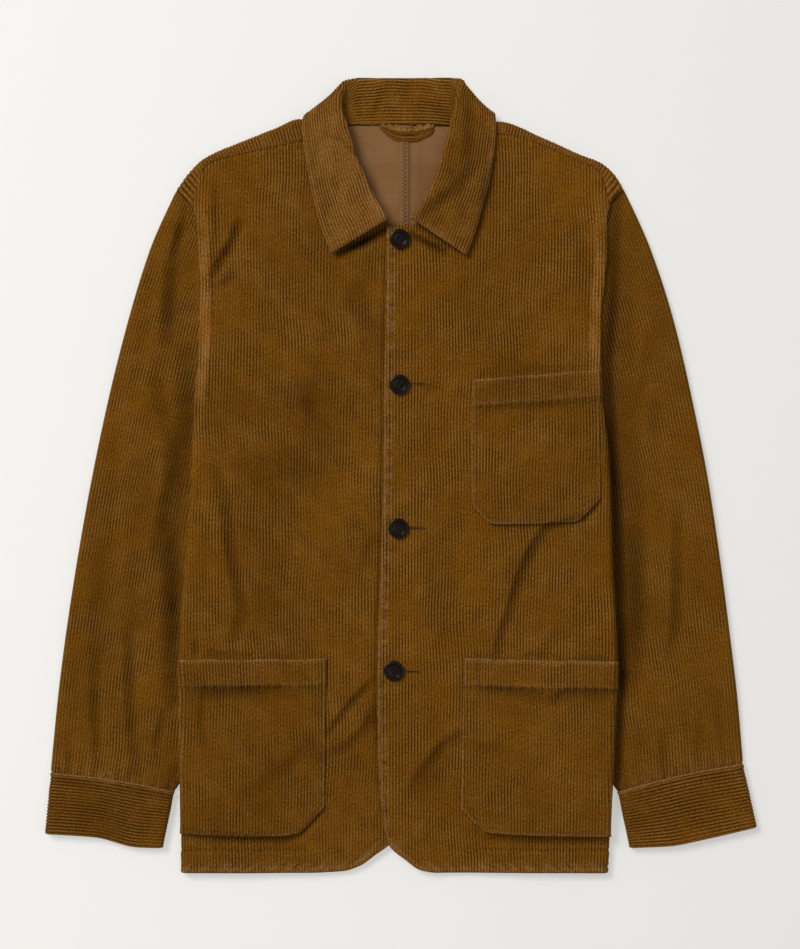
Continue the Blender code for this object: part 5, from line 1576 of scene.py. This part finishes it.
def inside_material():
    """The plain woven ground that shows on the inside."""
    made = Nodes("corduroy_inside")
    uv = made.flat_cloth()
    weave = made.noise(uv, (2100, 1700, 1), 2, 0.6)
    cloud = made.ramp(made.noise(uv, 30, 3), 0.35, 0.65)
    colour = made.blend(made.ramp(weave, 0.25, 0.75), GROUND, GROUND_PALE)
    colour = made.blend(made.times(cloud, 0.5), colour, GROUND_FADED)
    # paler and darker patches, with painted shade in folds and beside edges
    colour = made.blend(1.0, colour, made.plus(1.03, made.attribute("nap")), "MULTIPLY")
    slack = made.times(made.noise(uv, (22, 95, 1), 1), 9.0)
    return made.finished({
        "Base Color": colour, "Normal": made.bump(made.plus(weave, slack), 0.0002, 0.6),
        "Roughness": 0.9, "Specular IOR Level": 0.15, "Sheen Weight": 0.1})


def thread_material(name, colour, dark):
    """Twisted thread: fine slanting stripes of light and dark."""
    made = Nodes(name)
    twist = made.noise(made.own_place(), (3800, 1300, 1300), 1, turn=0.7)
    return made.finished({"Base Color": made.blend(made.ramp(twist, 0.3, 0.7), dark, colour),
                          "Roughness": 0.7, "Specular IOR Level": 0.2})


corduroy = corduroy_material("corduroy_cloth")
corduroy_worn = corduroy_material("corduroy_rubbed", 0.1)
inside_cloth = inside_material()
thread = thread_material("brown_thread", (0.125, 0.055, 0.010, 1), (0.050, 0.020, 0.003, 1))
pale_thread = thread_material("pale_thread", (0.29, 0.172, 0.085, 1), (0.19, 0.10, 0.042, 1))
satin_thread = thread_material("satin_thread", (0.150, 0.074, 0.020, 1), (0.066, 0.028, 0.005, 1))
for piece in [*fronts.values(), *backs.values(), *sleeves.values(), *pockets.values()]:
    piece.data.materials.append(corduroy)
    piece.data.materials.append(inside_cloth)
for piece in [*cuffs.values(), collar]:
    piece.data.materials.append(corduroy_worn)
print("materials:", [m.name for m in bpy.data.materials])

# %% [markdown]
# ## Stitches
# Each seam above noted where its thread runs on the flat cloth. A stitch is a short grain of
# thread that the pile half hides. One is drawn out from a small ball, and copied along every
# run. There are over a thousand, so it has only twenty faces.

# %% One stitch, and a row of them
STITCH_PITCH, STITCH_LONG, STITCH_THICK, STITCH_SUNK = 3.3, 2.3, 0.7, 0.05
SEWN_ON = []                  # pieces that only ride, with the slot of their finish

bpy.ops.mesh.primitive_ico_sphere_add(subdivisions=1, radius=0.5)
ball = bpy.context.object
GRAIN = np.array([vertex.co for vertex in ball.data.vertices])     # a ball 1 across
GRAIN_FACES = np.array([face.vertices for face in ball.data.polygons])
bpy.data.objects.remove(ball)


def on_cloth(name, u, v, sunk=0.0):
    """Points on a cloth's finished face, and the way up from it."""
    shape, relief, facing, opened = surfaces[name]
    square, points = normals(shape, u, v)
    up = square * facing
    return points + up * (ribs(u, opened(u, v)) + relief(u, v)[0] - sunk)[:, None], up


def grains(name, centres, along, up, long, thick, material):
    """One mesh of many stitches, each with its own middle and direction, in millimetres."""
    along = unit(along)
    aside = unit(np.cross(up, along))
    up = np.cross(along, aside)
    lengths = np.broadcast_to(long, len(centres))
    every = centres[:, None] + sum(size[:, None, None] * GRAIN[None, :, axis, None] * way[:, None]
                                   for axis, (size, way) in enumerate((
                                       (lengths, along), (lengths * 0 + thick, aside),
                                       (lengths * 0 + thick, up))))
    every[..., 2] = np.maximum(every[..., 2], 0)       # the floor is below
    faces = GRAIN_FACES[None] + (np.arange(len(centres)) * len(GRAIN))[:, None, None]
    mesh = bpy.data.meshes.new(name)
    mesh.from_pydata((every.reshape(-1, 3) * MM).tolist(), [], faces.reshape(-1, 3).tolist())
    mesh.polygons.foreach_set("use_smooth", np.ones(len(mesh.polygons), bool))
    mesh.materials.append(material)
    return put(name, mesh)


def sew(name, runs):
    """Stitches along each run of one cloth."""
    middles, alongs, ups = [], [], []
    for piece, u, v in runs:
        run = travelled(u, v)
        at = np.arange(STITCH_PITCH / 2, run[-1], STITCH_PITCH)
        ends = [on_cloth(piece.name, np.interp(at + by, run, u), np.interp(at + by, run, v),
                         STITCH_SUNK) for by in (-STITCH_LONG / 2, 0, STITCH_LONG / 2)]
        middles.append((ends[0][0] + ends[1][0] + ends[2][0]) / 3)
        alongs.append(ends[2][0] - ends[0][0])
        ups.append(ends[1][1])
    return grains(name, np.concatenate(middles), np.concatenate(alongs), np.concatenate(ups),
                  STITCH_LONG, STITCH_THICK, thread)


for cloth_name in sorted({piece.name for piece, _, _ in seams}):
    row = sew(cloth_name.replace("cloth", "stitches"),
              [seam for seam in seams if seam[0].name == cloth_name])
    SEWN_ON.append((row, "corduroy"))
    print(row.name, len(row.data.polygons) // len(GRAIN_FACES), "stitches")

# %% [markdown]
# ## Buttons
# Dark horn, turned on a lathe: a broad rounded rim round a dished middle, drilled four times
# and sewn on through the holes. It could be a turned profile, but a disc shaped with insets
# shows each part by itself. One is made at the origin and copied to each place with its own
# turn, because nobody sews on four buttons at the same angle.

# %% A button from a disc
RIM, RIM_SLOPE, DISH, MIDDLE_IN, MIDDLE_SINK = 3.0, 0.8, 1.3, 2.0, 0.2
ROUND_OUTSIDE, ROUND_INSIDE = 1.0, 0.3
HOLE_RADIUS, HOLE_AWAY, HOLE_SIDES = 0.95, 1.6, 14
STRAND_THICK, STRANDS, STRAND_GAP = 0.42, 3, 0.36
TURNS = {"button_1": 42, "button_2": 52, "button_3": 8, "button_4": 30}      # degrees
HORN, HORN_PALE = (0.0022, 0.0014, 0.0010, 1), (0.0062, 0.0036, 0.0022, 1)


def only(*pieces):
    """Select just these, with the first one active."""
    bpy.ops.object.select_all(action="DESELECT")
    for piece in pieces:
        piece.select_set(True)
    bpy.context.view_layer.objects.active = pieces[0]


def choose_faces(piece, wanted):
    """Select, in edit mode, the faces whose middle and normal pass a test."""
    bpy.ops.mesh.select_mode(type="FACE")
    bpy.ops.mesh.select_all(action="DESELECT")
    mesh = bmesh.from_edit_mesh(piece.data)
    for face in mesh.faces:
        if wanted(face.calc_center_median() / MM, face.normal):
            face.select_set(True)
    bmesh.update_edit_mesh(piece.data)


def finish_with(piece, kind, **settings):
    """Add a modifier and apply it."""
    made = piece.modifiers.new(kind.title(), kind)
    for key, value in settings.items():
        setattr(made, key, value)
    bpy.context.view_layer.objects.active = piece
    bpy.ops.object.modifier_apply(modifier=made.name)


def horn_material():
    made = Nodes("dark_horn")
    grain = made.noise(made.own_place(), (300, 900, 300), 3)
    return made.finished({
        "Base Color": made.blend(made.ramp(grain, 0.35, 0.75), HORN, HORN_PALE),
        "Roughness": 0.24, "Specular IOR Level": 0.22, "Specular Tint": (1.0, 0.86, 0.74, 1)})


low, high = (np.array(corner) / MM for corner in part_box("button_2"))
button_radius, button_thick = (high[0] - low[0]) / 2, high[2] - low[2]
bpy.ops.mesh.primitive_cylinder_add(vertices=48, radius=button_radius * MM,
                                    depth=button_thick * MM)
disc = bpy.context.object
finish_with(disc, "BEVEL", width=ROUND_OUTSIDE * MM, segments=4, limit_method="ANGLE")
bpy.ops.object.mode_set(mode="EDIT")
choose_faces(disc, lambda middle, normal: normal.z > 0.99)
for inset, down in ((RIM - ROUND_OUTSIDE, 0), (RIM_SLOPE, DISH), (MIDDLE_IN, MIDDLE_SINK)):
    bpy.ops.mesh.inset(thickness=inset * MM)
    bpy.ops.transform.translate(value=(0, 0, -down * MM))
bpy.ops.object.mode_set(mode="OBJECT")
finish_with(disc, "BEVEL", width=ROUND_INSIDE * MM, segments=2, limit_method="ANGLE",
            angle_limit=math.radians(20))
drills = []
for i in range(4):
    angle = math.pi / 4 + i * math.pi / 2
    away = HOLE_AWAY * math.sqrt(2)
    bpy.ops.mesh.primitive_cylinder_add(
        vertices=HOLE_SIDES, radius=HOLE_RADIUS * MM, depth=3 * button_thick * MM,
        location=(away * math.cos(angle) * MM, away * math.sin(angle) * MM, 0))
    drills.append(bpy.context.object)
only(*drills)
bpy.ops.object.join()
drill = bpy.context.object
finish_with(disc, "BOOLEAN", object=drill, operation="DIFFERENCE", solver="EXACT")
bpy.data.objects.remove(drill)
disc.data.materials.append(horn_material())
print("button faces:", len(disc.data.polygons))

# %% Thread through its holes, and the four copies
strands = []
floor_z = button_thick / 2 - DISH
button_thread = thread_material("button_thread", (0.022, 0.015, 0.012, 1),
                                (0.008, 0.006, 0.005, 1))
for bar in (-1, 1):
    for strand in range(STRANDS):
        x = (strand - 1) * STRAND_GAP * MM + bar * HOLE_AWAY * MM
        bpy.ops.mesh.primitive_uv_sphere_add(segments=8, ring_count=6, radius=STRAND_THICK / 2 * MM,
                                             location=(x, 0, floor_z * MM))
        bpy.ops.object.mode_set(mode="EDIT")
        bpy.ops.transform.resize(value=(1, (HOLE_AWAY * 2 + HOLE_RADIUS) / STRAND_THICK, 1))
        bpy.ops.object.mode_set(mode="OBJECT")
        strands.append(bpy.context.object)
        strands[-1].data.materials.append(button_thread)
only(disc, *strands)
bpy.ops.object.join()
bpy.ops.object.shade_smooth_by_angle(angle=math.radians(40))
buttons = {}
for name, degrees in TURNS.items():
    low, high = (Vector(corner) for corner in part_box(name))
    mesh = disc.data.copy()
    mesh.transform(Matrix.Translation((low + high) / 2)
                   @ Matrix.Rotation(math.radians(degrees), 4, "Z"))
    buttons[name] = put(name + "_horn", mesh)
bpy.data.objects.remove(disc)
print("buttons:", list(buttons))

# %% [markdown]
# ## Buttonholes
# A buttonhole is a slit, bound on both sides with close satin stitches and closed at its end
# with a bar of longer ones. The button covers its inner end, and the collar hides the top one.

# %% Buttonholes, each (height, from, to)
BUTTONHOLES = {"buttonhole_2": (487.7, 7.5, 23.0), "buttonhole_3": (344.0, 7.0, 23.0),
               "buttonhole_4": (201.0, 2.0, 17.5)}
SATIN_PITCH, SATIN_LONG, SATIN_THICK, SATIN_AWAY, BAR_LONG = 0.75, 1.5, 0.62, 1.0, 3.8
SLIT_WIDE, SLIT_DEEP, SATIN_PROUD = 0.6, 0.7, 0.1
BY = 0.4                      # how far on a direction is measured


def slit(name, height, start, end):
    """The cut itself, as painted shade: a dark ball drawn out to a thin almond that lies in the cloth.
    """
    middle, _ = on_cloth("front_cloth_left", np.array([(start + end) / 2]), np.array([height]))
    bpy.ops.mesh.primitive_uv_sphere_add(segments=16, ring_count=8, radius=0.5 * MM)
    bpy.ops.object.mode_set(mode="EDIT")
    bpy.ops.transform.resize(value=(end - start, SLIT_WIDE, SLIT_DEEP))
    bpy.ops.transform.translate(value=middle[0] * MM)
    bpy.ops.object.mode_set(mode="OBJECT")
    made = bpy.context.object
    made.name = name
    made.data.materials.append(slit_shade)
    return made


# painted shade in the buttonhole's slit, near black
slit_shade = thread_material("cut_edge", (0.014, 0.006, 0.001, 1), (0.006, 0.002, 0.0005, 1))
for name, (height, start, end) in BUTTONHOLES.items():
    at = np.arange(start, end, SATIN_PITCH)
    u = np.concatenate([at, at, end + np.array([0, 0.6, 1.2])])
    v = height + np.concatenate([np.full(len(at), SATIN_AWAY), np.full(len(at), -SATIN_AWAY),
                                 np.zeros(3)])
    long = np.where(u >= end - 0.01, BAR_LONG, SATIN_LONG)
    centres, up = on_cloth("front_cloth_left", u, v, -SATIN_PROUD)
    ahead, behind = (on_cloth("front_cloth_left", u, v + by)[0] for by in (BY, -BY))
    along = ahead - behind
    satin = grains(name + "_satin", centres, along, up, long, SATIN_THICK, satin_thread)
    SEWN_ON.append((satin, "corduroy"))
    SEWN_ON.append((slit(name + "_slit", height, start, end), "corduroy"))
print("buttonholes:", list(BUTTONHOLES))

# %% [markdown]
# ## The hanger loop
# A tape of the same corduroy, caught in the neck seam at both ends. It hangs in a shallow bow
# and has been pulled on often, so its upper edge is crumpled and leans out over the cloth.

# %% Hanger loop, rows of (lower edge across, height; upper edge across, height)
LOOP_RUN = ((-21.5, 744.5, -20, 747.2), (-17, 740.0, -14, 747.4), (-9, 733.6, -6, 746.4),
            (2, 730.6, 4, 745.6), (14, 731.0, 13, 745.8), (23, 734.6, 23, 746.8),
            (30, 737.6, 30.5, 747.6), (33.5, 742.6, 33, 747.4))
LOOP_WIDE, LOOP_WALL = 12.4, 1.3
LOOP_LOW, LOOP_TOP, LOOP_RIDGE = 7.4, 6.4, 3.0     # z of its edges, and of the fold between


def loop_shape(u, v):
    along, *edges = loop_table
    part = u / LOOP_WIDE
    low_x, low_h, top_x, top_h = (np.interp(v, along, column) for column in edges)
    ends = arch(v / along[-1]) ** 0.4
    upper = step(part, 0.5, 0.8)
    crumple = upper * (0.9 * np.sin(v * 0.93 + np.sin(v / 6)) + 0.5 * np.sin(v * 1.7 + 2))
    ruck = upper * 0.9 * np.sin(v * 0.71 + 1)
    ridge = LOOP_RIDGE * hump(part, 0.6, 0.2)
    return place(1, mix(low_x, top_x, part), mix(low_h, top_h, part) + ruck,
                 mix(LOOP_LOW, LOOP_TOP, part) - 1.6 + (1.6 + ridge) * ends + crumple * ends)


def loop_relief(u, v):
    # its upper half is painted pale: rubbed pile, and a painted highlight on its lit upper slope
    return -0.7 * hump(u, 6.2, 0.8), 0.65 * step(u, 6.0, 8.5)


run = np.array(LOOP_RUN)
fine = np.linspace(0, len(run) - 1, 120)
columns = [curve(list(enumerate(run[:, axis])))(fine) for axis in range(4)]
travel = travelled(columns[0], columns[1])
loop_table = (travel, *columns)
hanger_loop = cloth("hanger_loop_cloth", loop_shape, lambda u, v: np.minimum(u, LOOP_WIDE - u),
                    lambda u, share: share * travel[-1] + 0 * u, spaced(travel[-1], 1.2), -3,
                    LOOP_WIDE + 3, LOOP_WIDE / 2, LOOP_WALL, -1, loop_relief, ribs_inside=True)
hanger_loop.data.materials.append(corduroy_worn)

# %% [markdown]
# ## The centre back seam
# Inside, the seam's two layers are turned to one side as a strip, and its raw edge is bound
# with overlock, a zigzag of pale thread. Beside the seam line runs a row of fine stitches.

# %% Seam allowance and overlock
STRIP_ACROSS, STRIP_HEIGHTS, STRIP_WALL, STRIP_LIFT = (-1.5, 7.8), (636.0, 746.5), 1.0, 0.15
ZIGZAG_PITCH, ZIGZAG_LONG, ZIGZAG_THICK, ZIGZAG_LEAN, ZIGZAG_IN = 2.0, 6.4, 1.0, 20.0, 4.2
FINE_PITCH, FINE_LONG, FINE_THICK = 2.6, 1.6, 0.55


def inner_face(x, height):
    """Height of the backs' inner face, in millimetres."""
    return back_underside(x, height) + WALL


wide, tall = STRIP_ACROSS[1] - STRIP_ACROSS[0], STRIP_HEIGHTS[1] - STRIP_HEIGHTS[0]
bpy.ops.mesh.primitive_grid_add(x_subdivisions=6, y_subdivisions=50, size=1)
strip = bpy.context.object
strip.name = "centre_back_allowance"
flat = np.array([vertex.co for vertex in strip.data.vertices])
x = STRIP_ACROSS[0] + (flat[:, 0] + 0.5) * wide
height = STRIP_HEIGHTS[0] + (flat[:, 1] + 0.5) * tall
ruffle = 0.25 * np.sin(height / 5.3) * np.exp(-(x - STRIP_ACROSS[0]) / 3)
z = inner_face(x, height) + STRIP_LIFT + ruffle
for vertex, point in zip(strip.data.vertices, place(1, x, height, z)):
    vertex.co = point * MM
for corner, loop in zip(strip.data.uv_layers.active.data, strip.data.loops):
    corner.uv = strip.data.vertices[loop.vertex_index].co.xy
strip.data.uv_layers.active.name = "UVMap"
finish_with(strip, "SOLIDIFY", thickness=STRIP_WALL * MM, offset=1)
finish_with(strip, "BEVEL", width=0.25 * MM, segments=2, limit_method="ANGLE")
strip.data.materials.append(inside_cloth)
only(strip)
bpy.ops.object.shade_smooth_by_angle(angle=math.radians(50))

height = np.arange(STRIP_HEIGHTS[0] + 1, STRIP_HEIGHTS[1] - 1, ZIGZAG_PITCH)
x = np.full(len(height), STRIP_ACROSS[0] + ZIGZAG_IN)
lean = np.radians(ZIGZAG_LEAN) * np.where(np.arange(len(height)) % 2, 1, -1)
along = np.stack([np.cos(lean), np.sin(lean), 0 * lean], 1)
upwards = np.tile([0.0, 0.0, 1.0], (len(height), 1))
overlock = grains("centre_back_overlock",
                  place(1, x, height, inner_face(x, height) + STRIP_LIFT + STRIP_WALL + 0.45),
                  along, upwards, ZIGZAG_LONG, ZIGZAG_THICK, pale_thread)
height = np.arange(STRIP_HEIGHTS[0] + 1, STRIP_HEIGHTS[1] - 1, FINE_PITCH)
upwards = np.tile([0.0, 0.0, 1.0], (len(height), 1))
along = np.tile([0.0, 1.0, 0.0], (len(height), 1))
for name, x_at, lifted in (("centre_back_stitches", 10.2, 0.0), ("allowance_stitches", 6.2, 1.15)):
    x = np.full(len(height), x_at)
    row = grains(name, place(1, x, height, inner_face(x, height) + lifted), along, upwards,
                 FINE_LONG, FINE_THICK, thread)
    SEWN_ON.append((row, "corduroy"))
SEWN_ON.append((overlock, "corduroy_worn"))
print("centre back strip, mm:", round(wide, 1), "x", round(tall, 1))

# %% [markdown]
# ## Riding and replacing
# Each cloth stands for one solid, which is hidden, and rides on the root body. The size of
# its flat cut is read from it and then removed.

# %% Ride the root body, and hide the solids


def stands_for(piece, node):
    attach(piece, "root")
    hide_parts(node)
    if "flat" in piece:
        wide, long, area = piece["flat"]
        del piece["flat"]


for side in SIDES:
    stands_for(fronts[side], "front_" + NAMES[side])
    stands_for(backs[side], "back_" + NAMES[side])
    stands_for(sleeves[side], "sleeve_" + NAMES[side])
    stands_for(cuffs[side], "cuff_" + NAMES[side])
stands_for(collar, "collar")
for name, piece in pockets.items():
    stands_for(piece, name)
for name, piece in buttons.items():
    stands_for(piece, name)
stands_for(hanger_loop, "hanger_loop")
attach(strip, "root")
for piece, slot in SEWN_ON:
    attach(piece, "root")

# %% [markdown]
# ## Floor
# The jacket lies on a light table, larger than the view. Its pale glass glows a little, more
# at the left, so the shadows on it are faint.

# %% Floor
FLOOR_ACROSS = 6.0                        # metres
GLOW_LEFT, GLOW_RIGHT, GLOW_REACH = 0.50, 0.41, 0.4
GLASS, GLASS_PALE = (0.405, 0.405, 0.40, 1), (0.415, 0.415, 0.41, 1)
bpy.ops.mesh.primitive_plane_add(size=FLOOR_ACROSS, location=(0, 0, 0))
floor = bpy.context.object
floor.name = "floor"
glass = Nodes("light_table")
spot = glass.own_place()
glow = glass.ramp(glass.across(spot), -GLOW_REACH, GLOW_REACH, GLOW_LEFT, GLOW_RIGHT)
floor.data.materials.append(glass.finished({
    "Base Color": glass.blend(glass.noise(spot, 40, 3), GLASS, GLASS_PALE), "Roughness": 0.9,
    "Emission Color": (1.0, 0.985, 0.94, 1), "Emission Strength": glow}))
floor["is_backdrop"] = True

# %% Sizes, and the end
low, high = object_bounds()
print("size, mm:", [round((b - a) / MM, 1) for a, b in zip(low, high)])
